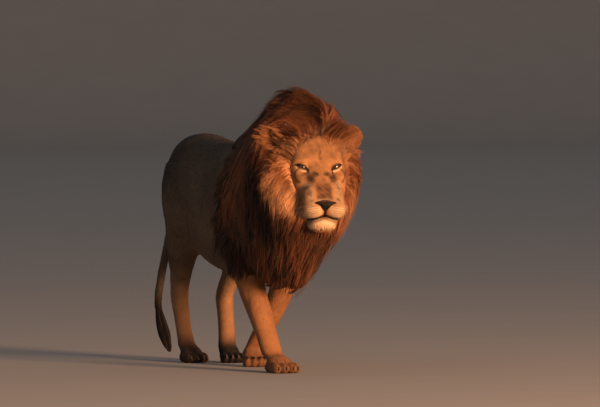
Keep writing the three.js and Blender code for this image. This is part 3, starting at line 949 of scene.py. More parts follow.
def face_marks(local):
    """Dark, pale, red and bright amounts on the head, by place in its own frame. Where marks
    meet, the strongest counts."""
    x, y, z = local.T
    w = np.abs(x)
    front = ramp(y, -40, 20)
    eyes = zip(eye_marks(local, -1), eye_marks(local, 1))
    dark_eyes, pale_eyes, bright = (np.maximum(left, right) for left, right in eyes)
    mottle = 0.22 + 0.11 * waves(local, 13, 3.0) + 0.06 * waves(local, 6, 1.0)
    forehead = 0.1 + 0.16 * waves(local, 21, 6.0) + 0.08 * waves(local, 8, 2.5)
    mottle = mottle + ramp(z, -30, 30) * forehead
    sooty = bell(w - 50, 22) * bell(z + 47, 22) + 0.8 * bell(w - 20, 16) * bell(z + 30, 9)
    sooty = sooty * (1.2 + 0.4 * waves(local, 7, 2.0))
    # Painted shade down the side of the muzzle, greyed with cream.
    streak = bell(w - 64 - 0.1 * (z + 100), 17) * ramp(z, -55, -75) * ramp(z, -170, -140)
    fold = bell(np.hypot((w - 78) / 0.95, z + 36) - 30, 4.5) * ramp(w, 78, 92) * ramp(y, -90, -60)
    # Painted shade along the side of the muzzle, where it meets the ruff.
    flew_shade = bell(w - 92 + 0.1 * (z + 150), 11) * ramp(z, -90, -125) * ramp(z, -232, -205)
    flew_shade = flew_shade * ramp(y, -50, -10)
    bridge = ramp(w, 46, 24) * ramp(z, -152, -134) * ramp(z, -44, -84) * front
    between_eyes = bell(w, 34) * bell(z + 52, 26) * front
    brow_line = 0.8 * bell(x + 2 + 3 * np.sin(z / 9), 4.6) * ramp(z, 4, 30) * ramp(z, 128, 84)
    knots = bell(np.hypot(x + 4, z - 58), 7) + bell(np.hypot(x + 8, z - 34), 6)
    furrows = bell(w - 20 - 0.25 * z, 3.0) * ramp(z, 4, 16) * ramp(z, 70, 44)
    # Painted shade at the side of the face, between the face and the ruff.
    face_rim_shade = ramp(w, 92, 108) * ramp(z, 10, -30) * ramp(y, 25, -5)
    lips = bell(z - mouth_height(x), 7) * ramp(w, 120, 104) * ramp(y, -10, 20)
    cleft = bell(w, 5.5) * ramp(z, -214, -206) * ramp(z, -150, -158) * front
    across_pad = 0.62 * ramp(w, 26, 36) * ramp(w, 88, 74) * front
    whisker_lines = [across_pad * bell(z - row + 0.16 * (w - 40), 2.4) for row in WHISKER_ROWS]
    dark = np.max([
        np.maximum(mottle, 0), dark_eyes, front * np.clip(0.9 * sooty, 0, 0.9),
        front * 0.62 * streak * (0.9 + 0.5 * waves(local, 9, 5.0)), 0.85 * fold,
        0.5 * flew_shade * (0.9 + 0.4 * waves(local, 8, 7.0)),
        0.42 * between_eyes * (1 + 0.4 * waves(local, 10, 8.0)),
        0.74 * bridge * (0.9 + 0.3 * waves(local, 9)), 0.8 * brow_line, 0.8 * knots,
        0.3 * furrows, 0.5 * face_rim_shade, lips, cleft, *whisker_lines,
    ], 0)
    pad = ramp(z, -146, -176) * ramp(w, 8, 20) * ramp(w, 104, 70) * front
    above_nose = bell(z + 138, 7) * ramp(w, 40, 26) * ramp(y, 100, 120)
    chin = ramp(z, mouth_height(x) - 6, mouth_height(x) - 16) * ramp(w, 88, 60) * ramp(y, 0, 30)
    chin = chin * ramp(z, -272, -248)
    jaw_side = bell(z + 238, 16) * ramp(w, 50, 70) * ramp(y, -30, 10)
    pale = np.max([
        pale_eyes, front * 0.5 * streak, 0.6 * above_nose, 0.62 * pad, 0.75 * chin, 0.5 * jaw_side,
    ], 0)
    # Painted shade under the line of the mouth, where the lower lip lies in shadow.
    lower_lip_shade = bell(z - mouth_height(x) + 11, 8) * ramp(w, 84, 60) * front
    dark = np.maximum(dark * (1 - 0.7 * chin), 0.62 * lower_lip_shade)
    red = np.max([0.12 + 0.35 * ramp(-y, 60, 130), 0.45 * bridge, 0.7 * face_rim_shade], 0)
    for ear in EARS.values():
        own = ear_places(local, ear)
        near = ramp(ear_size(own), 1.3, 1.1) * ramp(np.abs(own[:, 1]), 46, 36)
        behind = ramp(own[:, 1], -4, -12) * near
        red = np.maximum(red, 0.6 * near)
        dark = np.maximum(dark, np.maximum(0.5 * behind, 0.15 * near))
    return dark, pale, red, bright


def marks_of(p, part):
    """Dark, pale, red and tone of the coat at points of the body."""
    x, y, z = p.T
    # The trunk's dark grey-brown, greyed with cream, is partly its own colour and partly painted shade. The
    # extra dark towards the top of the back and towards the rump is painted shade.
    dark = 0.82 + 0.08 * ramp(z, 640, 980) + 0.05 * waves(p, 90) + 0.02 * waves(p, 26, 3.0)
    dark = dark + 0.07 * ramp(y, 320, 560) + 0.1 * ramp(z, 900, 960) * bell(x, 70) * ramp(y, 120, -160)
    pale = 0.66 + 0.1 * waves(p, 120, 4.0)
    red = 0.05 + 0.05 * waves(p, 140, 2.0)
    fore = (part == 1) | (part == 2)
    hind = (part == 3) | (part == 4)
    mottled = 0.08 * waves(p, 30, 1.5) + 0.06 * waves(p, 11, 4.0)
    shaded = 0.12 * ((part == 2) | (part == 4))
    low_dark = 0.2 + shaded + 0.26 * ramp(z, 150, 30)
    # On the hind legs the darkening down to the paws is painted shade.
    low_dark = np.where(hind, 0.3 + shaded + 0.6 * ramp(z + 160 * mottled, 150, 50), low_dark) + mottled
    low = np.where(fore, ramp(z, 540, 400), np.where(hind, ramp(z, 460, 270), 0))
    dark = dark + (low_dark - dark) * low
    pale = pale + (0.12 * hind - pale) * low
    red = red + (np.where(hind, 0.3, 0.42) - red) * low
    tail_end = ramp(z, 330, 210)
    dark = np.where(part == 5, 0.84 + 0.16 * tail_end, dark)
    for paw in PAWS.values():
        spin, origin = paw_frame(paw)
        own = (p - origin) @ spin
        wide, long = paw["wide"], paw["long"]
        # Dark lines between the toes: partly dark fur, partly painted shade in the gaps.
        for gap in (-0.5, 0.0, 0.5):
            line = bell(own[:, 0] - gap * wide, 4.0) * ramp(own[:, 1], -0.1 * long, -0.35 * long)
            on_paw = (np.abs(own[:, 0]) < wide * 1.2) & (own[:, 1] > -long) & (z < 60)
            dark = np.maximum(dark, 0.8 * line * on_paw)
    dark = np.maximum(dark, 0.8 * ramp(z, 9, 3))
    head = part == 6
    tone = 0.5 + 0.14 * waves(p, 60, 1.0)
    if head.any():
        dark[head], pale[head], red[head], bright = face_marks(to_head(p[head]))
        tone[head] += 0.22 * bright
    tone = np.clip(tone, 0, 1)
    return np.stack([np.clip(dark, 0, 1), np.clip(pale, 0, 1), np.clip(red, 0, 1), tone], -1)


skin_marks = marks_of(skin_points, skin_part)
print("marks", skin_marks.mean(0).round(2))


# %% [markdown]
# Colours are mixed in two shared groups of nodes. The first turns the marks into a colour:
# tawny to auburn, to cream, to black-brown, then lighter or darker by the tone. The second
# gives a fine streaky height for hair that lies flat, stretched along the lie of the coat.

# %% Shared groups of nodes
def new_group(name, inputs, outputs):
    """An empty group with named inputs and outputs."""
    group = bpy.data.node_groups.new(name, "ShaderNodeTree")
    for title, kind in inputs:
        group.interface.new_socket(title, in_out="INPUT", socket_type=kind)
    for title, kind in outputs:
        group.interface.new_socket(title, in_out="OUTPUT", socket_type=kind)
    enter = group.nodes.new("NodeGroupInput")
    leave = group.nodes.new("NodeGroupOutput")
    return group, enter, leave


def put(value, socket):
    """A number, a colour or another node's output, given to an input."""
    if isinstance(value, bpy.types.NodeSocket):
        socket.id_data.links.new(value, socket)
    else:
        socket.default_value = (*value, 1) if isinstance(value, tuple) else value


def node(tree, kind, **values):
    """A new node with its named inputs filled."""
    made = tree.nodes.new("ShaderNode" + kind)
    for title, value in values.items():
        put(value, made.inputs[title])
    return made


def mixed(tree, factor, a, b):
    """A colour mix whose ends are colours or sockets."""
    mix = node(tree, "Mix")
    mix.data_type = "RGBA"
    for number, value in ((0, factor), (6, a), (7, b)):
        put(value, mix.inputs[number])
    return mix.outputs[2]


def maths(tree, operation, *values):
    """One step of arithmetic on numbers or sockets."""
    step = node(tree, "Math")
    step.operation = operation
    for value, socket in zip(values, step.inputs):
        put(value, socket)
    return step.outputs[0]


def own_places(tree):
    """The piece's own coordinates, in metres."""
    return node(tree, "TexCoord").outputs["Object"]


def noise(tree, scale, detail=2.0, vector=None):
    """Soft noise in the piece's own coordinates, or along another vector."""
    vector = vector or own_places(tree)
    return node(tree, "TexNoise", Vector=vector, Scale=scale, Detail=detail).outputs["Fac"]


def scaled(tree, colour, amount):
    """A colour made lighter or darker by a factor."""
    product = node(tree, "VectorMath")
    product.operation = "SCALE"
    put(colour, product.inputs[0])
    put(amount, product.inputs["Scale"])
    return product.outputs[0]


def raised(tree, shader, height, strength, distance):
    """The height gives the shader's surface a fine relief."""
    bump = node(tree, "Bump", Strength=strength, Distance=distance, Height=height)
    put(bump.outputs["Normal"], shader.inputs["Normal"])


TAWNY = (0.45, 0.205, 0.078)
AUBURN = (0.23, 0.072, 0.028)
CREAM = (0.72, 0.50, 0.30)
BLACK_BROWN = (0.010, 0.007, 0.006)

coat_colour, enter, leave = new_group(
    "coat_colour",
    [("Dark", "NodeSocketFloat"), ("Pale", "NodeSocketFloat"), ("Red", "NodeSocketFloat"),
     ("Tone", "NodeSocketFloat")],
    [("Color", "NodeSocketColor")],
)
tree = coat_colour
warmed = mixed(tree, enter.outputs["Red"], TAWNY, AUBURN)
paled = mixed(tree, enter.outputs["Pale"], warmed, CREAM)
fleck = maths(tree, "MULTIPLY_ADD", noise(tree, 260, detail=1), 0.5, -0.25)
room = maths(tree, "MULTIPLY_ADD", enter.outputs["Dark"], -3.0, 3.0)
half_dark = maths(tree, "MULTIPLY", enter.outputs["Dark"], room)
darkness = maths(tree, "MULTIPLY_ADD", fleck, half_dark, enter.outputs["Dark"])
darkened = mixed(tree, darkness, paled, BLACK_BROWN)
lightness = maths(tree, "ADD", enter.outputs["Tone"], 0.5)
put(scaled(tree, darkened, lightness), leave.inputs["Color"])

flat_hair, enter, leave = new_group(
    "flat_hair", [("Lie", "NodeSocketVector")],
    [("Height", "NodeSocketFloat"), ("Shade", "NodeSocketFloat")],
)
tree = flat_hair
stretch = node(tree, "Mapping", Vector=enter.outputs["Lie"], Scale=[420, 60, 1])
streaks = noise(tree, 1, detail=3, vector=stretch.outputs[0])
put(streaks, leave.inputs["Height"])
put(streaks, leave.inputs["Shade"])
print("groups", [g.name for g in bpy.data.node_groups])


# %% [markdown]
# Materials put the groups to use. The skin's coat is rough. The long locks are smoother and
# take a soft shine along them.

# %% Coat materials
def new_material(name, roughness, coat=0.0):
    """A material with its nodes and its shader."""
    material = bpy.data.materials.new(name)
    material.use_nodes = True
    shader = material.node_tree.nodes["Principled BSDF"]
    shader.inputs["Roughness"].default_value = roughness
    shader.inputs["Coat Weight"].default_value = coat
    return material, material.node_tree, shader


def add_group(tree, group):
    """A shared group used in a tree."""
    used = node(tree, "Group")
    used.node_tree = group
    return used


def carried_marks(tree):
    """The outputs of the marks that the mesh carries."""
    marks = node(tree, "Attribute")
    marks.attribute_name = "marks"
    return marks.outputs


def channels(tree, colour):
    """A colour's Red, Green and Blue as numbers."""
    return node(tree, "SeparateColor", Color=colour).outputs


def marks_to_colour(tree, shade):
    """The carried marks sent through the colour group, with the tone shaded by fine streaks."""
    marks = carried_marks(tree)
    amounts = channels(tree, marks["Color"])
    colour = add_group(tree, coat_colour)
    for source, target in (("Red", "Dark"), ("Green", "Pale"), ("Blue", "Red")):
        put(amounts[source], colour.inputs[target])
    tone = maths(tree, "ADD", marks["Alpha"], maths(tree, "MULTIPLY_ADD", shade, 0.7, -0.35))
    put(tone, colour.inputs["Tone"])
    return colour.outputs["Color"]


def hair_material(name, roughness, strength, depth):
    """The marks' colour, shaded and raised by fine streaks along the map called Lie."""
    material, tree, shader = new_material(name, roughness)
    shader.inputs["Specular IOR Level"].default_value = 0.25
    lie = node(tree, "UVMap")
    lie.uv_map = "Lie"
    hair = add_group(tree, flat_hair)
    put(lie.outputs["UV"], hair.inputs["Lie"])
    put(marks_to_colour(tree, hair.outputs["Shade"]), shader.inputs["Base Color"])
    raised(tree, shader, hair.outputs["Height"], strength, depth)
    return material


skin_material = hair_material("short_coat", roughness=0.75, strength=0.6, depth=0.002)
tuft_material = hair_material("coat_tufts", roughness=0.7, strength=0.3, depth=0.001)
lock_material = hair_material("mane_locks", roughness=0.6, strength=0.5, depth=0.0015)
print("materials ready")


# %% [markdown]
# Meshes are made from whole arrays of points. The skin carries its marks as a colour at each
# point and a map called Lie, the unrolled surface in metres. On a hair piece, Lie runs along
# each lock, and a second map called OFBake has a small patch for every lock, at the place of
# its root on the unrolled skin.

# %% Meshes from arrays
def new_mesh(name, points, faces, marks=None, maps=None, material=None, smooth=True):
    """Faces are arrays of point numbers with three or four corners each."""
    mesh = bpy.data.meshes.new(name)
    sizes = np.concatenate([np.full(len(f), f.shape[1]) for f in faces])
    corners = np.concatenate([f.reshape(-1) for f in faces]).astype(np.int32)
    starts = np.concatenate([[0], np.cumsum(sizes)[:-1]]).astype(np.int32)
    mesh.vertices.add(len(points))
    mesh.vertices.foreach_set("co", np.asarray(points, np.float32).reshape(-1))
    mesh.loops.add(len(corners))
    mesh.loops.foreach_set("vertex_index", corners)
    mesh.polygons.add(len(sizes))
    mesh.polygons.foreach_set("loop_start", starts)
    mesh.polygons.foreach_set("use_smooth", np.full(len(sizes), smooth))
    mesh.update(calc_edges=True)
    if marks is not None:
        layer = mesh.attributes.new("marks", "FLOAT_COLOR", "POINT")
        layer.data.foreach_set("color", np.asarray(marks, np.float32).reshape(-1))
    for title, uv in (maps or {}).items():
        layer = mesh.uv_layers.new(name=title)
        layer.data.foreach_set("uv", np.asarray(uv, np.float32)[corners].reshape(-1))
    mesh.validate()
    mesh.materials.append(material)
    piece = placed(name, mesh)
    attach(piece, "root")
    return piece


def triangle_count(piece):
    """A face of n corners is n - 2 triangles."""
    return len(piece.data.loops) - 2 * len(piece.data.polygons)


skin = new_mesh(
    "skin", to_frame(skin_points), [skin_squares, np.array(band)],
    marks=skin_marks, maps={"Lie": unrolled(skin_points, skin_part) * MM}, material=skin_material,
)
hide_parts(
    "head", "jaw", "trunk", "neck", "foreleg_right", "foreleg_left",
    "hindleg_right", "hindleg_left", "tail", "ear_left", "ear_right",
)
print("skin", triangle_count(skin), "triangles", taken())


# %% [markdown]
# Hair could be grown as particles, but only solid pieces last when a part is handed on. So
# each lock is a thin solid of triangular section that tapers to a point along its own curved
# spine. All the locks of a piece are worked out together as arrays: rings of three points
# round each place on the spine, then one point at the tip.

# %% Locks of hair
def lock_shapes(spine, normal, width, thick):
    """Rings across each spine: two edge points and one ridge point, which shrink to the tip.
    Spines are (locks, places, 3), and widths are (locks, places)."""
    along = np.gradient(spine, axis=1)
    across = unit(np.cross(along, normal))
    up = unit(np.cross(across, along))
    half = across * width[..., None] / 2
    ridge = up * thick[..., None]
    rings = np.stack([spine - half, spine + half, spine + ridge], 2)[:, :-1]
    count, places = rings.shape[:2]
    points = np.concatenate([rings.reshape(count, places * 3, 3), spine[:, -1:]], 1)
    first = np.arange(places - 1)[:, None] * 3
    pairs = np.array([[0, 1], [1, 2], [2, 0]])
    sides = np.stack([
        first + pairs[:, 0], first + 3 + pairs[:, 0], first + 3 + pairs[:, 1], first + pairs[:, 1],
    ], -1).reshape(-1, 4)
    last = (places - 1) * 3
    tips = np.stack([last + pairs[:, 0], np.full(3, places * 3), last + pairs[:, 1]], -1)
    ends = np.concatenate([tips, [[0, 1, 2]]])
    offset = (np.arange(count) * points.shape[1])[:, None, None]
    return points.reshape(-1, 3), [(sides + offset).reshape(-1, 4), (ends + offset).reshape(-1, 3)]


PATCH = 0.003  # how wide a lock's patch is on the OFBake map


def lock_piece(name, spine, normal, width, thick, marks, roots, material):
    """A piece of hair. `thick` is the share of the width that the ridge rises, `marks` is
    (locks, places, 4), and `roots` the place of each root on the unrolled skin from 0 to 1."""
    points, faces = lock_shapes(spine, normal, width, width * thick)
    count, places = spine.shape[:2]
    stretches = np.linalg.norm(np.diff(spine, axis=1), axis=2)
    far = np.concatenate([np.zeros((count, 1)), stretches.cumsum(1)], 1)
    across = np.stack([-width / 2, width / 2, 0 * width], -1) + rng.uniform(0, 3000, (count, 1, 1))
    strand = np.stack([across, np.repeat(far[..., None], 3, axis=2)], -1)[:, :-1].reshape(count, -1, 2)
    strand_tip = np.stack([across[:, -1, 2], far[:, -1]], -1)[:, None]
    strand = np.concatenate([strand, strand_tip], 1).reshape(-1, 2)
    ring_marks = np.repeat(marks[:, :-1], 3, axis=1)
    all_marks = np.concatenate([ring_marks, marks[:, -1:]], 1).reshape(-1, 4)
    step = np.arange(places - 1) / (places - 1)
    patch_v = np.append(np.repeat(step, 3), 1.0)
    patch_u = np.append(np.tile([0.0, 1.0, 0.5], places - 1), 0.5)
    patch = np.stack([patch_u, patch_v], -1) * PATCH
    uv = (roots[:, None] * 0.996 + patch).reshape(-1, 2)
    points[:, 2] = np.maximum(points[:, 2], 0.3)
    maps = {"OFBake": uv, "Lie": strand * MM}
    piece = new_mesh(name, to_frame(points), faces, all_marks, maps, material, smooth=False)
    print(name, count, "locks", triangle_count(piece), "triangles")
    return piece


def taper(places, root=0.75, fullest=0.3):
    """Width along a lock: from a narrower root to full, then to a point."""
    t = np.linspace(0, 1, places)
    rise = root + (1 - root) * np.clip(t / fullest, 0, 1)
    fall = 1 - np.clip((t - fullest) / (1 - fullest), 0, 1) ** 1.6
    return rise * fall


def same_widths(width, count, places):
    """The same tapering widths for every lock."""
    return np.tile(width * taper(places), (count, 1))


def plain_marks(dark, red, tone, places):
    """Marks that don't change along a lock. The amounts are (locks, 1) or single numbers."""
    dark, red, tone = np.broadcast_arrays(dark, red, tone)
    return np.repeat(np.stack([dark, 0 * dark, red, tone], -1), places, axis=1)


def varied(tone, spread, middle=0.0):
    """The tone made a little lighter or darker for each lock, within 0 to 1."""
    return np.clip(tone + rng.normal(middle, spread, (len(tone), 1)), 0, 1)


# %% [markdown]
# The mane's form is that of its solid parts: upright rings from the ruff round the face to
# the shoulders, higher than wide, leaning back above the chin and held back behind the ears.
# A point of the mane is given by how far along its outline it lies, its angle round the neck
# and its depth, where 1 is the outer face.

# %% The mane's form
MANE_ROWS = [
    # y below the chin, x, top, bottom, half width, lean, pinch
    [-1062, -50, 1040, 640, 130, 0.6, 0.1],
    [-1046, -50, 1092, 606, 178, 0.57, 0.2],
    [-1008, -48, 1146, 572, 220, 0.5, 0.28],
    [-950, -46, 1188, 530, 248, 0.4, 0.3],
    [-870, -46, 1212, 470, 258, 0.28, 0.3],
    [-780, -46, 1208, 400, 252, 0.16, 0.32],
    [-680, -38, 1194, 346, 250, 0.06, 0.33],
    [-580, -24, 1158, 326, 250, 0, 0.31],
    [-490, -12, 1126, 338, 248, 0, 0.27],
    [-410, -4, 1086, 352, 244, 0, 0.22],
    [-350, 0, 1056, 364, 230, 0, 0.14],
    [-312, 0, 1044, 376, 216, 0, 0.1],
    [-270, 0, 1030, 386, 204, 0, 0.06],
]
LEAN_FROM = 690.0
LEAN_HEIGHT = 200.0
KEEL_LEFT, KEEL_RIGHT = 0.32, 0.14  # how much the hanging half narrows on each side
PINCH_LEFT, PINCH_RIGHT = 0.35, 0.48  # how much of the pinch each side of the top takes
EAR_PART = dict(out=150, up=995, wide=95, tall=95, deep=90, behind=-640)
mane_table = smooth_table(MANE_ROWS)


def mane_point(y, angle, depth):
    """An oval round the neck at y, swollen by slow lobes, narrower at its top. Angles run from
    the lion's left over its underside to its right, and on over the top."""
    x, top, bottom, wide, lean, pinch = mane_table(y).T
    middle = (top + bottom) / 2
    swell = 1 + 0.018 * np.sin(5 * angle + y / 60) + 0.012 * np.sin(9 * angle - y / 38)
    sine = np.sin(angle)
    is_left = np.cos(angle) > 0
    keel = np.where(is_left, KEEL_LEFT, KEEL_RIGHT)
    drawn_in = np.where(is_left, PINCH_LEFT, PINCH_RIGHT) * pinch
    taper_share = 1 + np.where(sine > 0, -keel, drawn_in) * sine
    out = np.cos(angle) * wide * swell * taper_share * depth
    z = middle - sine * (middle - bottom) * swell * depth
    behind = lean * np.clip(z - LEAN_FROM, 0, LEAN_HEIGHT)
    beside, above = np.abs(out) - EAR_PART["out"], z - EAR_PART["up"]
    off = np.hypot(beside / EAR_PART["wide"], above / EAR_PART["tall"])
    first = MANE_ROWS[0][0]
    share = np.clip((y - EAR_PART["behind"]) / (first - EAR_PART["behind"]), 0, 1)
    held = EAR_PART["deep"] * share * np.maximum(0, 1 - off * off)
    return np.stack([x + out, y + behind + held, z], -1)


mane_y = np.linspace(MANE_ROWS[0][0], MANE_ROWS[-1][0], 200)
table = mane_table(mane_y)
mean_radius = (table[:, 3] + (table[:, 1] - table[:, 2]) / 2) / 2
outline_step = np.hypot(np.diff(mane_y), np.diff(mean_radius))
mane_s = np.concatenate([[0], np.cumsum(outline_step)])  # the way along the outline from the face
MANE_LONG = float(mane_s[-1])


def mane_at(s, angle, depth):
    """The mane's point by the way along its outline."""
    return mane_point(np.interp(s, mane_s, mane_y), angle, depth)


def mane_radius(s):
    """The ring's mean radius there."""
    return np.interp(s, mane_s, mean_radius)


print("mane", round(MANE_LONG), "mm along its outline")


# %% [markdown]
# Mane hair grows from the neck, runs outward and back from the face, and sinks down the sides
# under its own weight. Over the top the wind has blown it to the lion's right. Each lock
# follows that flow step by step, starts deep and ends near the outer face. Locks gather to
# the path of the nearest leading lock, as washed hair does, so tips come together in points.

# %% Growing the mane
LOCK_PLACES = 6


def left_of_parting(angle):
    """0 on the right of the crest's parting and 1 on its left, which lies left of the middle."""
    return ramp(np.cos(angle), 0.34, 0.5)


def mane_flow(s, angle):
    """The share of each step that goes along the outline and round the neck."""
    top = np.clip(-np.sin(angle), 0, 1)
    left = left_of_parting(angle)
    front = ramp(s, 300, 170)
    swept = 1.7 * (1 - left) * ramp(s, 0, 40) - 0.45 * left
    blown = -(top ** 2) * (front * swept + 0.8 * (1 - front))
    sunk = 0.85 * np.cos(angle) * (1 - 0.5 * top)
    around = sunk + blown
    along = 1.0 - 0.5 * top * (1 - left) * ramp(s, 0, 60)
    size = np.hypot(along, around)
    return along / size, around / size


def grown(sheet, flow, radius, s, angle, length, start, end, curve, places=LOCK_PLACES):
    """Each lock's spine, outward directions and way along the sheet. Depth goes from start to
    end, and `curve` turns the flow a little to one side for each lock."""
    spine, normal, ways = [], [], []
    step = length / (places - 1)
    for place in range(places):
        t = place / (places - 1)
        depth = start + (end - start) * math.sin(t * math.pi / 2)
        here = sheet(s, angle, depth)
        spine.append(here)
        normal.append(unit(sheet(s, angle, depth + 0.04) - here))
        ways.append(s)
        along, around = flow(s, angle)
        around = around + curve * (0.4 + t)
        s = s + step * along
        angle = angle + step * around / radius(s)
    return np.stack(spine, 1), np.stack(normal, 1), np.stack(ways, 1)


def gathered(spine, leaders, owner, pull):
    """Spines drawn to the leading spine of their clump, more and more towards the tip."""
    t = np.linspace(0, 1, spine.shape[1])[None, :, None] ** 1.4
    root_gap = spine[:, :1] - leaders[owner][:, :1]
    target = leaders[owner] + root_gap * (1 - t)
    return spine + (target - spine) * pull * t


def nearest(points, centres, size=4000):
    """The number of the nearest centre for each point."""
    found = []
    for i in range(0, len(points), size):
        gaps = ((points[i:i + size, None] - centres[None]) ** 2).sum(-1)
        found.append(gaps.argmin(1))
    return np.concatenate(found)


def gold_reach(angle):
    """How far from the face the ruff stays golden: far on the cheeks, farther still on the
    lion's left, and less above and below."""
    left = ramp(np.cos(angle), -0.1, 0.4)
    return 6 + (165 + 190 * left) * bell(np.sin(angle) - 0.16 + 0.08 * left, 0.62 + 0.08 * left)


def mane_marks(s, angle, t, chance):
    """Marks along each lock: golden near the face, then black behind the ruff, auburn and
    brown on the chest, and on the crest dark to the right of the parting, ruddy to its left."""
    sine, cosine = np.sin(angle), np.cos(angle)
    patchy = np.sin(4 * angle + s / 70) + np.sin(7 * angle - s / 45 + 2)
    reach = gold_reach(angle) + 14 * patchy + 30 * (chance - 0.5)
    gold = ramp(s, reach + 20, reach - 20)
    band = bell(s - reach - 90, 75) * bell(sine, 0.5)
    chest = ramp(sine, 0.3, 0.85)
    under_chin = chest * ramp(s, 130, 40)
    streaks = 0.2 * np.sin(11 * angle + 2.5 * np.sin(s / 60)) * ramp(s, 200, 330)
    dark = 0.66 + 0.08 * patchy + 0.4 * band - 0.08 * chest - 0.22 * under_chin + streaks
    red = 0.85 - 0.1 * patchy
    top = ramp(-sine, 0.3, 0.62)
    left = left_of_parting(angle)
    beside_parting = bell(cosine - 0.3, 0.14) * ramp(s, 150, 60)
    right_top = 0.4 + 0.22 * ramp(s, 50, 120) + 0.14 * ramp(-cosine, 0.3, 0.0)
    right_top = right_top + 0.4 * beside_parting
    left_top = 0.14 + 0.3 * ramp(s, 90, 200)
    dark = dark + (right_top * (1 - left) + left_top * left - dark) * top * ramp(s, 420, 300)
    streaky = (chance > 0.66) * top * (1 - left) * 0.34
    dark = dark + 0.5 * (chance - 0.5) * (1 - 0.5 * band) - streaky
    dark = dark + 0.12 * bell(sine - 0.25, 0.4) * ramp(cosine, 0.0, -0.3) * ramp(s, 240, 340)
    # Towards the shoulders the mane darkens: painted shade where it turns back to the shoulder.
    rear = ramp(s, 700, 860)
    dark = dark * (1 - rear) + rear * (0.74 + 0.2 * (chance - 0.5))
    # Lighter hair high on the lion's right side of the neck: painted light where the key leaves it in
    # shade.
    painted_light_right_neck = bell(sine + 0.35, 0.32) * ramp(cosine, 0.0, -0.3) * ramp(s, 330, 460)
    dark = dark - painted_light_right_neck * (0.25 + 0.45 * (chance > 0.4))
    gold = gold * (1 - top)
    dark = dark * (1 - gold) + gold * (0.05 + 0.3 * (chance > 0.8))
    low_left = ramp(cosine, 0.0, 0.3) * ramp(sine, 0.0, 0.5)
    ruddy = 0.36 + 0.42 * ramp(cosine, -0.1, 0.3) + 0.2 * low_left
    red = red * (1 - gold) + gold * (ruddy + 0.4 * (chance - 0.5))
    shade = 0.12 * (1 - t) ** 2
    # The golden ruff's tone is lighter on the lion's right than on its left: painted light on the side that
    # the key leaves in shade.
    tone = 0.36 + 0.3 * chance + gold * (0.44 - 0.3 * ramp(cosine, -0.1, 0.3))
    shape = np.broadcast_shapes(s.shape, t.shape)
    channels = [np.clip(dark + shade, 0, 1), 0.06 * gold, np.clip(red, 0, 1), np.clip(tone, 0, 1)]
    return np.stack([np.broadcast_to(c, shape) for c in channels], -1)


LOCK_COUNT = 25200
LEADERS = 1900
STRAYS = 1800  # fine single wisps that stand off the mane's outer face


def mane_starts(count):
    """Random roots over the mane, more where it faces front, with lengths for their place."""
    s = MANE_LONG * rng.random(count) ** 1.15 * 0.93
    angle = rng.uniform(-math.pi / 2, 1.5 * math.pi, count)
    sine = np.sin(angle)
    length = 140 + 60 * ramp(s, 60, 260) + 50 * ramp(sine, 0.2, 0.8)
    length = length * rng.uniform(0.7, 1.2, count)
    low = ramp(sine, 0.25, 0.9)
    start = 0.895 - 0.17 * low + rng.uniform(-0.02, 0.04, count)
    top = ramp(-sine, 0.4, 0.8)
    end = 0.985 + rng.normal(0, 0.022 + 0.016 * top, count) - 0.05 * low
    curve = rng.normal(0, 0.22 + 0.34 * top, count)
    return s, angle, length, start, end, curve


def flat_place(s, angle):
    """A place to measure by: along the outline, and round a circle of the mane's size."""
    return np.stack([s, np.cos(angle) * 240, np.sin(angle) * 240], -1)


def grow_mane(count):
    """The locks of the whole mane with their roots. Each lock shares most of the bend, the
    length and the height of its leader, and the last ones are the strays."""
    lead = mane_starts(LEADERS)
    leaders, _, _ = grown(mane_at, mane_flow, mane_radius, *lead)
    s, angle, length, start, end, curve = mane_starts(count)
    owner = nearest(flat_place(s, angle), flat_place(*lead[:2]))
    length = length + 0.6 * (lead[2][owner] - length)
    end = end + 0.8 * (lead[4][owner] - end)
    curve = curve + 0.7 * (lead[5][owner] - curve)
    stray = np.arange(count) >= count - STRAYS
    over_top = stray & (rng.random(count) < 0.5)
    angle = np.where(over_top, rng.uniform(-1.1, 0.1, count) * math.pi, angle)
    s = np.where(over_top, rng.uniform(20, 420, count), s)
    end = np.where(stray, rng.uniform(1.0, 1.07, count), end)
    curve = np.where(stray, rng.normal(0, 0.35, count), curve)
    spine, normal, ways = grown(mane_at, mane_flow, mane_radius, s, angle, length, start, end, curve)
    pull = np.where(stray, 0.0, rng.uniform(0.35, 0.75, count))[:, None, None]
    return s, angle, stray, gathered(spine, leaders, owner, pull), normal, ways


root_s, root_angle, stray, spine, normal, ways = grow_mane(LOCK_COUNT)
chance = rng.random(LOCK_COUNT)
t = np.linspace(0, 1, LOCK_PLACES)
marks = mane_marks(ways, root_angle[:, None], t[None], chance[:, None])
width = np.where(stray, 2.0, rng.uniform(3.0, 7.0, LOCK_COUNT))[:, None] * taper(LOCK_PLACES)[None]
roots = np.stack([(root_angle + math.pi / 2) / (2 * math.pi), root_s / MANE_LONG], -1)
sine = np.sin(root_angle)
right = np.cos(root_angle) < 0
ruff = root_s < 210
above, below = ~ruff & (sine < -0.55), ~ruff & (sine > 0.6)
beside = ~ruff & ~above & ~below
places = {
    "ruff_right": ruff & right,
    "ruff_left": ruff & ~right,
    "crest": above,
    "chest": below,
    "neck_right": beside & right,
    "neck_left": beside & ~right,
}
for name, here in places.items():
    hair = (spine[here], normal[here], width[here], 0.22, marks[here], roots[here])
    piece = lock_piece("locks_" + name, *hair, lock_material)


# %% [markdown]
# Between the locks one must never see through to the bare neck. A dark inner body of the same
# form, drawn in by an eighth and more below, stands for the hair that can't be seen. Its dark is
# painted shade, the shade deep inside the mane.

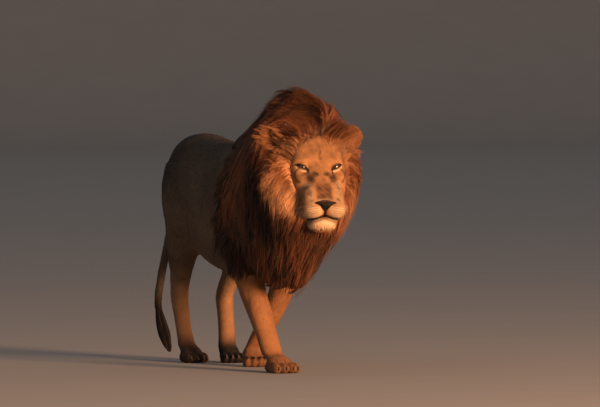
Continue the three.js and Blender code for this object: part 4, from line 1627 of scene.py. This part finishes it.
# %% The mane's inner body
def closed_tube(rings):
    """Rings of points joined round and along, with both ends closed to their middle points."""
    count, sides = rings.shape[:2]
    points = np.concatenate([rings.reshape(-1, 3), rings[:1].mean(1), rings[-1:].mean(1)])
    i, j = np.meshgrid(np.arange(count - 1), np.arange(sides), indexing="ij")
    after = (j + 1) % sides
    squares = np.stack([i * sides + j, i * sides + after, (i + 1) * sides + after, (i + 1) * sides + j], -1)
    j = np.arange(sides)
    after = (j + 1) % sides
    start, end = count * sides, count * sides + 1
    back_row = (count - 1) * sides
    fans = np.concatenate([
        np.stack([after, j, np.full(sides, start)], -1),
        np.stack([back_row + j, back_row + after, np.full(sides, end)], -1),
    ])
    return points, squares.reshape(-1, 4), fans


INNER_ROWS, INNER_SIDES = 60, 96
rows = np.linspace(4, MANE_LONG, INNER_ROWS)
round_steps = np.linspace(0, 2 * math.pi, INNER_SIDES, endpoint=False)
grid_s, grid_angle = (g.reshape(-1) for g in np.meshgrid(rows, round_steps, indexing="ij"))
ripple = 0.012 * np.sin(17 * grid_angle + grid_s / 24) + 0.01 * np.sin(29 * grid_angle - grid_s / 37)
depth = 0.87 - 0.17 * ramp(np.sin(grid_angle), 0.25, 0.9) + ripple
rings = mane_at(grid_s, grid_angle, depth).reshape(INNER_ROWS, INNER_SIDES, 3)
points, squares, fans = closed_tube(rings)
inner_marks = mane_marks(grid_s, grid_angle, np.ones_like(grid_s), np.full_like(grid_s, 0.5))
# A little darker than the locks: painted shade deep in the mane.
inner_marks[:, 0] = np.clip(inner_marks[:, 0] + 0.12, 0, 1)
inner_marks = np.concatenate([inner_marks, inner_marks[:1], inner_marks[-1:]])
inner_roots = np.stack([(grid_angle + math.pi / 2) / (2 * math.pi) % 1, grid_s / MANE_LONG], -1)
inner_roots = np.concatenate([inner_roots, inner_roots[:1], inner_roots[-1:]])
maps = {"OFBake": inner_roots, "Lie": inner_roots * 1.5}
mane_inner = new_mesh("mane_inner", to_frame(points), [squares, fans], inner_marks, maps, lock_material)
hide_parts("mane_ruff", "mane_crest", "mane_chest", "mane_withers", "neck")
print("mane grown", taken())


# %% [markdown]
# The short coat is laid with small tufts over the skin: about thirty-five thousand roots,
# scattered by the area of the skin's faces and thicker on the head. Each tuft runs along the
# lie of the coat and takes the marks of its root. They are smallest on the lips and toes.

# %% Short coat
def scatter(count, weight):
    """Random places on the skin's squares, in proportion to their area times a weight."""
    a, b, c, d = (skin_points[skin_squares[:, i]] for i in range(4))
    area = np.linalg.norm(np.cross(c - a, d - b), axis=1) / 2 * weight
    square = rng.choice(len(area), count, p=area / area.sum())
    u, v = rng.random((2, count, 1))
    shares = [(1 - u) * (1 - v), u * (1 - v), u * v, (1 - u) * v]
    corners = skin_squares[square]
    place = sum(share * skin_points[corners[:, i]] for i, share in enumerate(shares))
    normal = unit(sum(share * skin_normals[corners[:, i]] for i, share in enumerate(shares)))
    return place, normal, skin_part[corners[:, 0]]


middle_of_square = skin_points[skin_squares].mean(1)
part_of_square = skin_part[skin_squares[:, 0]]
under_mane = (part_of_square == 0) & (middle_of_square[:, 1] < -330)
face_local = to_head(middle_of_square)
face_x, face_y, face_z = face_local.T
on_face = part_of_square == 6
ear_near = near_ears(face_local)
back_of_head = on_face & (face_y < -110) & (ear_near > 1.4)
bare = under_mane | back_of_head | (middle_of_square[:, 2] < 4)
at_lips = (np.abs(face_z - mouth_height(face_x)) < 6) & (face_y > 0)
on_head = on_face & ~bare & ~at_lips
on_legs = (part_of_square >= 1) & (part_of_square <= 4) & ~bare
on_tail = (part_of_square == 5) & ~bare
on_trunk = (part_of_square == 0) & ~bare

# Where the tufts go: how many, their length and width on each kind of skin, and their lift.
COATS = {
    "coat_head": (on_head, 15000, 11.0, 1.7, 0.04),
    "coat_trunk": (on_trunk, 9500, 30.0, 4.2, 0.03),
    "coat_legs": (on_legs, 9000, 17.0, 2.8, 0.045),
    "coat_tail": (on_tail, 1500, 20.0, 3.0, 0.07),
}


def island(flat, part):
    """The unrolled skin's parts side by side in the unit square of the OFBake map."""
    column, row = part % 3, part // 3
    low, high = np.array([-650.0, -900.0]), np.array([650.0, 1100.0])
    share = np.clip((flat - low) / (high - low), 0.02, 0.98)
    return (share + np.stack([column, row], -1)) / 3


def tuft_size(p, part, length, width):
    """Shorter and finer towards the nose, lips, eyes and toes, longer on the belly."""
    scale = np.ones(len(p))
    local = to_head(p)
    head = part == 6
    fine = 0.5 + 0.7 * ramp(np.linalg.norm(local - NOSE_TIP, axis=1), 40, 190)
    for s in (-1, 1):
        fine = np.minimum(fine, 0.45 + 0.7 * ramp(eye_distance(local, s), 26, 80))
    scale = np.where(head, fine, scale)
    legs = (part >= 1) & (part <= 4)
    scale = np.where(legs, 0.5 + 0.7 * ramp(p[:, 2], 30, 420), scale)
    return length * scale, width * (0.5 + 0.5 * scale)


for name, (where, count, length, width, lift) in COATS.items():
    place, normal, part = scatter(count, where.astype(float))
    lie = lie_of_coat(place, normal, part)
    side_way = np.cross(lie, normal)
    lie = unit(lie + side_way * rng.normal(0, 0.16, (count, 1)))
    long, wide = tuft_size(place, part, length, width)
    long, wide = (v * rng.uniform(0.75, 1.25, count) for v in (long, wide))
    if name == "coat_trunk":
        belly = ramp(-normal[:, 2], 0.3, 0.8)
        long = long * (1 + 0.6 * belly)
    steps = np.array([0.0, 0.5, 1.0])[None, :, None]
    rise = np.array([-1.0, 0.8, 1.0])[None, :, None] * lift
    spine = place[:, None] + long[:, None, None] * (lie[:, None] * steps + normal[:, None] * rise)
    widths = wide[:, None] * np.array([0.9, 0.75, 0.0])[None]
    tuft_marks = marks_of(place, part)
    tuft_marks[:, 3] += rng.normal(0, 0.13, count)
    tuft_marks = np.clip(np.repeat(tuft_marks[:, None], 3, axis=1), 0, 1)
    # Each tuft is a little darker at its root: painted shade where it leaves the skin.
    tuft_marks[:, 0, 3] -= 0.08
    normals = np.repeat(normal[:, None], 3, axis=1)
    roots = island(unrolled(place, part), part)
    hair = (spine, normals, widths, 0.12, tuft_marks, roots)
    piece = lock_piece(name, *hair, tuft_material)
print("coat laid", taken())


# %% [markdown]
# Each eye is a ball that fills its socket, with a round pupil in an amber iris, a dark ring
# round the iris and a wet gloss over all. The colours are rings by the angle away from where
# the eye looks. That angle is kept at each point of the ball.

# %% Eyes
def eye_ball(name, s):
    """A ball of rings round the gaze, closer together over the iris."""
    gaze = unit(np.array([s * 0.16, 1.0, -0.06]))
    across = unit(np.cross(gaze, [0, 0, 1]))
    up = np.cross(across, gaze)
    angles = np.concatenate([np.linspace(0.02, 0.7, 22), np.linspace(0.78, 3.1, 16)])
    turns = np.linspace(0, 2 * math.pi, 40, endpoint=False)
    a, b = np.meshgrid(angles, turns, indexing="ij")
    cornea = 1 + 0.05 * np.exp(-((a / 0.42) ** 4))
    round_gaze = np.cos(b)[..., None] * up + np.sin(b)[..., None] * across
    rings = (np.cos(a) * cornea)[..., None] * gaze
    rings = rings + (np.sin(a) * cornea)[..., None] * round_gaze
    centre = np.array([s * EYE_SPREAD, EYE_DEPTH, 0])
    points, squares, fans = closed_tube(rings * EYE_RADIUS + centre)
    gaze_angle = np.append(a.reshape(-1), [0.0, math.pi])
    turn_angle = np.append(b.reshape(-1), [0.0, 0.0])
    fibres = 0.5 + 0.25 * np.sin(23 * turn_angle) + 0.25 * np.sin(37 * turn_angle + 1)
    marks = np.stack([gaze_angle / math.pi, fibres, 0 * fibres, 1 + 0 * fibres], -1)
    points = to_frame(to_body(points))
    piece = new_mesh("eyeball_" + name, points, [squares, fans], marks, material=eye_material)
    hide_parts("eye_" + name)


eye_material, tree, shader = new_material("eye", roughness=0.08, coat=1.0)
amounts = channels(tree, carried_marks(tree)["Color"])
rings = node(tree, "ValToRGB", Fac=amounts["Red"])
RINGS = [
    (0.0, (0.004, 0.003, 0.002)), (0.066, (0.004, 0.003, 0.002)), (0.076, (0.09, 0.036, 0.010)),
    (0.13, (0.15, 0.058, 0.015)), (0.152, (0.06, 0.022, 0.007)), (0.168, (0.01, 0.006, 0.004)),
    (0.2, (0.10, 0.07, 0.055)),
]
while len(rings.color_ramp.elements) < len(RINGS):
    rings.color_ramp.elements.new(0.5)
for element, (position, colour) in zip(rings.color_ramp.elements, RINGS):
    element.position = position
    element.color = (*colour, 1)
fibre = maths(tree, "MULTIPLY_ADD", amounts["Green"], 0.5, 0.6)
put(scaled(tree, rings.outputs["Color"], fibre), shader.inputs["Base Color"])
eye_ball("left", -1)
eye_ball("right", 1)
print("eyes set")


# %% [markdown]
# The nose is bare leathery skin: a broad pad over a narrower shield, with a nostril at each
# side that curls outward and a groove down the middle. It is drawn from a field as the skin
# is, on a grid of its own, and stays a separate piece.

# %% Nose
def nose_field(p):
    """A pad melted with a shield, trimmed from below in two curves that meet in a point, with
    nostrils carved out."""
    x, y, z = p.T
    pad = egg_field([0, 141, -152], [50, 19, 12], turned(-24), 1.9)(p)
    shield = egg_field([0, 139, -160], [34, 18, 23], turned(-20))(p)
    value = soft_min(pad, shield, 10)
    share = 1 - np.clip(np.abs(x) / 46, 0, 1)
    value = soft_max(value, 0.8 * (-z - 151 - 36 * share ** 1.7), 3)
    for s in (-1, 1):
        hole_turn = turned(pitch=-10, roll=s * 30, yaw=-s * 30)
        hole = egg_field([s * 23, 158, -162], [8, 12, 4.5], hole_turn)(p)
        slit = egg_field([s * 36, 149, -158], [13, 12, 2.0], turned(roll=s * 30, yaw=-s * 40))(p)
        value = soft_max(value, -soft_min(hole, slit, 5), 4)
    return value + 2.0 * bell(x, 2.2) * ramp(y, 140, 150)


nose_axes = [
    grid_lines(-52, 52, -10, 10, 1.6, 1.6),
    grid_lines(108, 168, 130, 140, 1.6, 1.6),
    grid_lines(-192, -124, -160, -150, 1.6, 1.6),
]
nose_points, nose_squares = surface(sample(nose_field, nose_axes), nose_axes)
nose_points, nose_normals = settle(nose_field, nose_points)
nose_material, tree, shader = new_material("nose_skin", roughness=0.6)
shader.inputs["Specular IOR Level"].default_value = 0.14
cells = node(tree, "TexVoronoi", Vector=own_places(tree), Scale=420)
raised(tree, shader, cells.outputs["Distance"], strength=0.4, distance=0.001)
black_leather = mixed(tree, cells.outputs["Distance"], (0.005, 0.004, 0.003), (0.016, 0.010, 0.008))
# Where the marks say so, the black leather turns brown: painted light on the nose's upper faces.
leather = mixed(tree, carried_marks(tree)["Fac"], black_leather, (0.10, 0.042, 0.022))
put(leather, shader.inputs["Base Color"])
# The faces of the nose that look up, away from its wings, get the brown: painted light from above.
brown = ramp(nose_normals[:, 2], 0.45, 0.85) * ramp(np.abs(nose_points[:, 0]), 42, 20)
nose_lit_top = np.repeat(brown[:, None], 4, axis=1)
nose_points = to_frame(to_body(nose_points))
nose = new_mesh("nose_pad", nose_points, [nose_squares], nose_lit_top, material=nose_material)
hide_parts("nose")
print("nose", triangle_count(nose), "triangles")


# %% [markdown]
# Claws and whiskers are thin tapering tubes along curves. A claw curves down from the top of
# its toe and hardly shows. Whiskers stand in rows on the lip pads and sweep out, back and down.

# %% Claws and whiskers
def tapered_tubes(curves, radii, sides=6):
    """Round tubes along curves, all in one mesh. Each is closed at its root and ends in a
    point."""
    along = unit(np.gradient(curves, axis=1))
    helper = np.where(np.abs(along[..., 2:]) > 0.9, [1.0, 0, 0], [0, 0, 1.0])
    across = unit(np.cross(along, helper))
    up = np.cross(across, along)
    turns = np.linspace(0, 2 * math.pi, sides, endpoint=False)
    circle = np.cos(turns)[:, None] * across[:, :, None] + np.sin(turns)[:, None] * up[:, :, None]
    rings = curves[:, :, None] + circle * radii[..., None, None]
    points, squares, fans, offset = [], [], [], 0
    for ring in rings:
        p, q, f = closed_tube(ring)
        points.append(p)
        squares.append(q[:, ::-1] + offset)
        fans.append(f[:, ::-1] + offset)
        offset += len(p)
    return np.concatenate(points), np.concatenate(squares), np.concatenate(fans)


def claw_curves():
    """One curve per toe: forward out of its top, then down."""
    curves = []
    for paw in PAWS.values():
        spin, origin = paw_frame(paw)
        bend = turned(-paw["steep"])
        for place in TOE_PLACES:
            root = np.array([0, -0.27 * paw["long"], 0])
            path = root + [[0, 0, 8], [0, -8, 5], [0, -12, -3], [0, -12, -10]]
            curves.append((path @ bend.T + toe_centre(paw, place)) @ spin.T + origin)
    return np.array(curves)


claws = claw_curves()
claw_radii = np.tile([4.0, 3.4, 2.2, 0.3], (len(claws), 1))
points, squares, fans = tapered_tubes(claws, claw_radii)
horn_material, tree, shader = new_material("claw_horn", roughness=0.35)
horn = mixed(tree, noise(tree, 200), (0.05, 0.035, 0.025), (0.16, 0.12, 0.08))
put(horn, shader.inputs["Base Color"])
new_mesh("claws", to_frame(points), [squares, fans], material=horn_material)


def whisker_curves():
    """Roots on the lip pads by row and column, and a sweep out, back and down from each."""
    curves, radii = [], []
    for s in (-1, 1):
        for row, height in enumerate(WHISKER_ROWS):
            for column in range(5):
                x = 34 + column * 11.5 + rng.normal(0, 1)
                root = np.array([s * x, 150 - 0.012 * (x - 30) ** 2, height - 0.16 * (x - 40)])
                start = to_body(root[None])
                for _ in range(4):
                    start, out = settle(skin_field, start)
                out = (out @ HEAD_AXES.T)[0]
                root = to_head(start)[0]
                sweep = np.array([s * 0.9, -0.25, -0.25 - 0.08 * row]) + out * 0.8
                sweep = unit(sweep + rng.normal(0, 0.07, 3))
                long = rng.uniform(50, 85) * (0.6 + 0.1 * column)
                t = np.linspace(0, 1, 9)[:, None]
                drop = np.array([0, -0.25, -0.35])
                curves.append(root - out * 2 + long * (sweep * t + drop * t ** 2))
                radii.append(0.17 * (1 - t[:, 0]) + 0.03)
    return to_body(np.array(curves)), np.array(radii)


curves, radii = whisker_curves()
points, squares, fans = tapered_tubes(curves, radii, sides=5)
whisker_material, tree, shader = new_material("whisker", roughness=0.35)
pale_horn = mixed(tree, noise(tree, 60), (0.26, 0.18, 0.12), (0.42, 0.32, 0.22))
put(pale_horn, shader.inputs["Base Color"])
new_mesh("whiskers", to_frame(points), [squares, fans], material=whisker_material)
print("claws and whiskers", len(claws), len(curves))


# %% [markdown]
# The tail ends in a black tuft: locks that start round its last stretch and run down along it.

# %% Tail tuft
def tuft_locks(count):
    """Roots round the tail's end, and spines that follow the tuft's path at their own share
    of its radius."""
    path = smooth_table(np.column_stack([np.linspace(0, 1, len(TUFT_PATH)), TUFT_PATH]))
    start = rng.uniform(0.0, 0.62, count)
    angle = rng.uniform(0, 2 * math.pi, count)
    share = rng.uniform(0.55, 1.0, count)
    t = np.linspace(0, 1, 6)
    places = np.clip(start[:, None] + (0.42 + 0.15 * rng.random((count, 1))) * t, 0, 1)
    at = path(places)
    out = np.stack([np.cos(angle), np.sin(angle), 0 * angle], -1)[:, None]
    swell = (0.35 + 0.65 * t ** 0.6)[None, :, None]
    spine = at[..., :3] + out * at[..., 3:] * share[:, None, None] * swell
    return spine, np.repeat(out, 6, axis=1), np.stack([angle / (2 * math.pi), np.clip(start, 0, 1)], -1)


count = 1400
spine, normal, roots = tuft_locks(count)
black = rng.uniform(0.97, 1.0, (count, 1))
marks = plain_marks(black, 0.5, rng.uniform(0.3, 0.7, (count, 1)), places=6)
widths = same_widths(5.5, count, 6)
hair = (spine, normal, widths, 0.45, marks, roots)
tail_tuft = lock_piece("tail_tuft_hair", *hair, lock_material)
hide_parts("tail_tuft")


# %% [markdown]
# Elsewhere longer hair grows out of the skin itself: it sets out in some direction and droops.
# The same functions make the spines, the clumps and the piece for every such patch. The first
# patch is the short pale beard on the chin.

# %% Beard
def hair_from(place, direction, length, droop, places=5):
    """Spines from roots on the skin: a straight run plus a fall that grows with its square."""
    t = np.linspace(0, 1, places)[None, :, None]
    run = direction[:, None] * t + np.array([0, 0, -1.0]) * droop * t ** 2
    return place[:, None] + length[:, None, None] * run


def clumped(spine, place, clumps, pull):
    """Some spines are chosen at random to lead, and the others are gathered to the nearest."""
    leaders = rng.choice(len(place), clumps, replace=False)
    return gathered(spine, spine[leaders], nearest(place, place[leaders]), pull=pull)


def root_marks(place, part):
    """The marks of the skin at each root, carried along a lock of five places."""
    return np.repeat(marks_of(place, part)[:, None], 5, axis=1)


def skin_hair(name, rooted, spine, width, thick, marks, material):
    """A hair piece rooted on the skin. `width` is the locks' fullest width."""
    place, normal, part = rooted
    places = spine.shape[1]
    normals = np.repeat(normal[:, None], places, axis=1)
    widths = same_widths(width, len(place), places)
    roots = island(unrolled(place, part), part)
    return lock_piece(name, spine, normals, widths, thick, marks, roots, material)


face_wide = np.abs(face_x)
chin_weight = on_face * ramp(-face_z, 225, 245) * ramp(face_y, 0, 30) * (face_wide < 62)
count = 1300
place, normal, part = scatter(count, chin_weight)
direction = unit(normal * 0.25 + [0, 0.6, -1.0] + rng.normal(0, 0.14, (count, 3)))
length = rng.uniform(6, 13, count)
spine = hair_from(place, direction, length, 0.15)
marks = root_marks(place, part)
low = ramp(to_head(place)[:, 2], -246, -262)[:, None] * np.linspace(0.4, 1, 5)
marks[..., 1] = marks[..., 1] * (1 - low)
marks[..., 2] = np.maximum(marks[..., 2], 0.8 * low)
marks[..., 3] = varied(marks[..., 3], 0.12)
rooted = (place, normal, part)
beard = skin_hair("chin_beard", rooted, spine, 1.8, 0.2, marks, tuft_material)


# %% [markdown]
# Dark hair hangs from the shoulders and along the mane's back edge, so that the mane thins out
# over the body instead of ending in a step.

# %% Shoulder hair
x, y, z = middle_of_square.T
shoulder = ramp(z, 420, 480) * ramp(z, 760, 660) * ramp(y, -560, -500) * ramp(y, -190, -260)
shoulder = shoulder * (np.abs(x) > 60)
back_edge = ramp(y, -350, -320) * ramp(y, -230, -280) * ramp(z, 600, 700) * (part_of_square == 0)
shoulder = shoulder * ((part_of_square == 1) | (part_of_square == 2) | (part_of_square == 0))
shoulder = np.maximum(shoulder, back_edge)
count = 3200
place, normal, part = scatter(count, shoulder)
lie = lie_of_coat(place, normal, part)
hanging = ramp(place[:, 2], 800, 620)[:, None] * [0, 0, -0.6] + [0, 0.15, -0.2]
stirred = lie * 0.6 + hanging + rng.normal(0, 0.1, (count, 3))
direction = unit(on_surface(stirred, normal) + 0.09 * normal)
length = rng.uniform(70, 130, count) * (0.5 + 0.5 * ramp(place[:, 2], 420, 560))
spine = clumped(hair_from(place, direction, length, 0.12, places=6), place, 200, pull=0.5)
chance = rng.random((count, 1))
dark = 0.76 + 0.24 * chance - 0.4 * ramp(place[:, 2:], 600, 720) * (chance < 0.4)
marks = plain_marks(dark, 0.6, 0.35 + 0.3 * chance, places=6)
rooted = (place, normal, part)
shoulder_hair = skin_hair("shoulder_hair", rooted, spine, 4.0, 0.35, marks, lock_material)


# %% [markdown]
# Round the face the coat grows longer towards the mane. Over the forehead it is blown to the
# lion's right, before the ears it sweeps outward, and on the cheeks it stands off a little.

# %% Hair at the edge of the face
edge_depth = -face_y
wide_of_face = ramp(face_wide, 66, 84) * ramp(face_z, 30, -10)
edge_weight = on_face * ramp(edge_depth + 26 * wide_of_face, 5, 60) * ramp(edge_depth, 170, 140)
from_eyes = np.min([eye_distance(face_local, s) for s in (-1, 1)], 0)
edge_weight = edge_weight * (ear_near > 1.15) * ramp(face_z, -215, -190) * ramp(from_eyes, 44, 58)
count = 4300
place, normal, part = scatter(count, edge_weight)
lie = lie_of_coat(place, normal, part)
x, y, z = to_head(place).T[..., None]
top = ramp(z, 46, 104)
blown = np.where(x > -16, [0.9, -0.6, 0.5], [-0.35, -0.6, 0.8]) @ HEAD_AXES
cheek = ramp(np.abs(x), 76, 104) * ramp(z, 60, 20)
before_ear = ramp(near_ears(to_head(place))[:, None], 2.4, 1.5) * ramp(z, 10, 50)
outward = (np.sign(x) * [0.9, 0, 0] + [0, 0.5, 0.6]) @ HEAD_AXES
lift = 0.10 + 0.55 * cheek + 0.2 * before_ear
direction = lie + lift * normal + 0.9 * top * (1 - before_ear) * blown + 1.2 * before_ear * outward
direction = unit(direction + rng.normal(0, 0.08, (count, 3)))
length = rng.uniform(35, 70, count) * (0.5 + 0.8 * ramp(-y[:, 0], 20, 90))
spine = clumped(hair_from(place, direction, length, 0.10), place, 380, pull=0.34)
marks = root_marks(place, part)
tips = np.linspace(0.0, 1, 5)[None]
marks[..., 0] = marks[..., 0] * (1 - 0.8 * tips * cheek)
marks[..., 0] = np.maximum(marks[..., 0], 0.8 * top * tips * rng.random((count, 1)))
marks[..., 2] = np.clip(marks[..., 2] + 0.7 * top * tips + 0.2 * tips, 0, 1)
marks[..., 3] = varied(marks[..., 3], 0.12)
rooted = (place, normal, part)
edge_hair = skin_hair("face_edge_hair", rooted, spine, 2.2, 0.22, marks, lock_material)


# %% [markdown]
# Between the forehead and the crest the crown's hair falls from the same parting as the mane:
# to the lion's right, and left of the parting up and to the left. Behind the ears it runs
# outward.

# %% Crown hair
crown_weight = ramp(face_z, 60, 90) * ramp(edge_depth, 48, 88) * ramp(edge_depth, 250, 220)
behind_ears = ramp(ear_near, 2.0, 1.5) * ramp(edge_depth, 100, 130) * ramp(edge_depth, 270, 240)
behind_ears = behind_ears * (face_z > -20)
crown_weight = np.maximum(crown_weight, 0.8 * behind_ears) * on_face * (ear_near > 1.05)
count = 2300
place, normal, part = scatter(count, crown_weight)
x, y, _ = to_head(place).T[..., None]
is_left = ramp(x, -6, -30)
swept = (is_left * [-0.75, 0.15, 0.6] + (1 - is_left) * [1.0, 0.1, 0.22]) @ HEAD_AXES
beside = ramp(np.abs(x), 92, 108) * ramp(y, -95, -115)
outward = (np.sign(x) * [0.7, 0, 0] + [0, -0.5, 0.25]) @ HEAD_AXES
swept = swept + (outward - swept) * beside
direction = unit(swept + 0.34 * normal + rng.normal(0, 0.14, (count, 3)))
length = rng.uniform(60, 140, count)
spine = clumped(hair_from(place, direction, length, 0.12), place, 160, pull=0.5)
chance = rng.random((count, 1))
marks = plain_marks(0.62 + 0.34 * chance - 0.46 * is_left, 0.75, 0.4 + 0.3 * chance, places=5)
rooted = (place, normal, part)
crown_hair = skin_hair("crown_hair", rooted, spine, 3.2, 0.22, marks, lock_material)


# %% [markdown]
# Long fair hair grows in and round the ears. On the right ear it is longest, and the wind
# parts it into pointed tufts.

# %% Ear hair
def ear_hair(ear, count):
    """Roots in the cup's front half and on its rim, and headings away from its middle, with
    the wind and, inside the cup, forward."""
    pose, _ = ear_pose(ear)
    own = ear_places(face_local, ear)
    size = ear_size(own)
    weight = on_face * (0.35 + ramp(size, 0.3, 0.8)) * ramp(size, 1.2, 1.05) * (own[:, 1] > -18)
    weight = weight * (np.abs(own[:, 1]) < 36) * (own[:, 2] > -30)
    place, normal, part = scatter(count, weight)
    away = ear_places(to_head(place), ear)
    spoke = unit(np.stack([away[:, 0] / EAR_WIDE, 0 * away[:, 0], (away[:, 2] - 20) / EAR_TALL], -1))
    inner = ramp(ear_size(away), 1.0, 0.75)[:, None]
    heading = 0.45 * spoke + np.array(ear["flow"]) + np.array([0, 0.5, 0]) * inner
    direction = unit(heading @ pose.T @ HEAD_AXES + rng.normal(0, 0.1, (count, 3)))
    length = rng.uniform(0.6, 1.1, count) * ear["hair"] * (0.6 + 0.6 * ramp(away[:, 2], 0, 80))
    return place, normal, part, direction, length


for name, ear in EARS.items():
    count = 1900
    place, normal, part, direction, length = ear_hair(ear, count)
    spine = clumped(hair_from(place, direction, length, 0.12), place, ear["clumps"], pull=0.7)
    marks = root_marks(place, part)
    shaded = ramp(to_head(place)[:, 2], 100, 60)[:, None]
    marks[..., 0] = 0.12 + 0.3 * rng.random((count, 1)) + 0.2 * shaded
    marks[..., 3] = varied(marks[..., 3], 0.12, middle=-0.05)
    rooted = (place, normal, part)
    piece = skin_hair("ear_hair_" + name, rooted, spine, 1.9, 0.4, marks, tuft_material)


# %% [markdown]
# The withers carry a low crest of hair that runs on from the mane along the back.

# %% Withers
CREST_ROWS = [
    [-300, -8, 1050, 900, 124],
    [-200, -10, 1028, 900, 108],
    [-100, -8, 1002, 900, 80],
    [-20, -4, 982, 920, 40],
]
crest_table = smooth_table(CREST_ROWS)


def crest_at(y, angle, depth):
    """An upright oval along the back, by place, angle and depth as for the mane."""
    x, top, bottom, wide = crest_table(y).T
    middle = (top + bottom) / 2
    return np.stack([
        x + np.cos(angle) * wide * depth, y, middle - np.sin(angle) * (middle - bottom) * depth,
    ], -1)


def crest_flow(y, angle):
    """Mostly back, and a little down on each side."""
    along = np.full_like(y, 0.9)
    return along, 0.45 * np.cos(angle)


count = 1800
y = rng.uniform(-400, -90, count)
angle = rng.uniform(-math.pi, 0, count)
length = rng.uniform(70, 120, count) * ramp(-y, -20, 140)
spine, normal, _ = grown(
    crest_at, crest_flow, lambda s: np.full_like(s, 105.0), y, angle, length + 25,
    rng.uniform(0.84, 0.95, count), rng.uniform(0.93, 1.0, count), rng.normal(0, 0.15, count),
)
x, top, bottom, wide = smooth_table(TRUNK_ROWS)(spine[..., 1].reshape(-1)).T
off_middle = np.clip(np.abs(spine[..., 0].reshape(-1) - x) / wide, 0, 0.98)
back = (top + bottom) / 2 + (top - bottom) / 2 * (1 - off_middle ** 2.2) ** (1 / 2.2)
back = back.reshape(spine.shape[:2]) - 5 + 60 * ramp(spine[..., 1], -100, -330)
spine[..., 2] = np.minimum(spine[..., 2], back)
chance = rng.random((count, 1))
marks = plain_marks(0.78 + 0.2 * chance, 0.6, 0.3 + 0.3 * chance, LOCK_PLACES)
widths = same_widths(4.5, count, LOCK_PLACES)
roots = np.stack([(angle + math.pi) / math.pi, (y + 400) / 400], -1)
hair = (spine, normal, widths, 0.25, marks, roots)
withers = lock_piece("locks_withers", *hair, lock_material)


# %% [markdown]
# The stage is plain: a pale floor that turns up into a far wall through a wide cove, a pale
# surround and two large soft lights. The warm key comes from low on the right, as late sun
# does, so that the face and the forelegs glow while the lion's right flank lies in soft shade.

# %% Stage and light
FLOOR_REACH = 60.0
COVE_ROUND = 8.0
WALL_HIGH = 14.0

turn = np.linspace(0, math.pi / 2, 25)
profile = np.vstack([
    [-FLOOR_REACH, 0],
    np.stack([FLOOR_REACH - COVE_ROUND * (1 - np.sin(turn)), COVE_ROUND * (1 - np.cos(turn))], -1),
    [FLOOR_REACH, WALL_HIGH],
])
left_edge = np.column_stack([np.full(len(profile), -FLOOR_REACH), profile])
row = 2 * np.arange(len(profile) - 1)[:, None]
floor_mesh = bpy.data.meshes.new("floor")
corners = np.stack([left_edge, left_edge * [-1, 1, 1]], 1).reshape(-1, 3)
floor_mesh.from_pydata(corners.tolist(), [], (row + [0, 1, 3, 2]).tolist())
floor_mesh.shade_smooth()
floor = placed("floor", floor_mesh)
floor_material, tree, shader = new_material("floor", roughness=0.9)
dust = mixed(tree, noise(tree, 2.5), (0.40, 0.36, 0.33), (0.44, 0.40, 0.365))
put(dust, shader.inputs["Base Color"])
floor_mesh.materials.append(floor_material)
floor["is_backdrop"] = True


def area_light(name, azimuth, height, distance, size, energy, colour):
    """A square light that faces the lion's chest."""
    data = bpy.data.lights.new(name, "AREA")
    data.size = size
    data.energy = energy
    data.color = colour
    light = placed(name, data)
    a = math.radians(azimuth)
    light.location = (distance * math.sin(a), -distance * math.cos(a), height)
    down = math.atan2(distance, height - 0.6)
    light.rotation_euler = (down, 0, a)


WARM, COOL = (1.0, 0.56, 0.30), (0.85, 0.9, 1.0)
area_light("key", azimuth=17, height=2.7, distance=18.0, size=4.0, energy=7000, colour=WARM)
area_light("fill", azimuth=-70, height=5.0, distance=8.0, size=5.0, energy=8, colour=COOL)
world = bpy.data.worlds.new("surround")
bpy.context.scene.world = world
world.use_nodes = True
surround = world.node_tree.nodes["Background"]
put((0.77, 0.80, 0.85), surround.inputs["Color"])
put(0.22, surround.inputs["Strength"])
bpy.context.scene.view_settings.view_transform = "Standard"  # colours shown plainly, no film curve


# %% [markdown]
# Last, the sizes of the dressed model and of the solid parts are kept side by side, and the
# frame is finished.

# %% Finish
dressed = [list(corner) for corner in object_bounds()]
print("dressed", [[round(v, 3) for v in corner] for corner in dressed])
print("in all", taken())
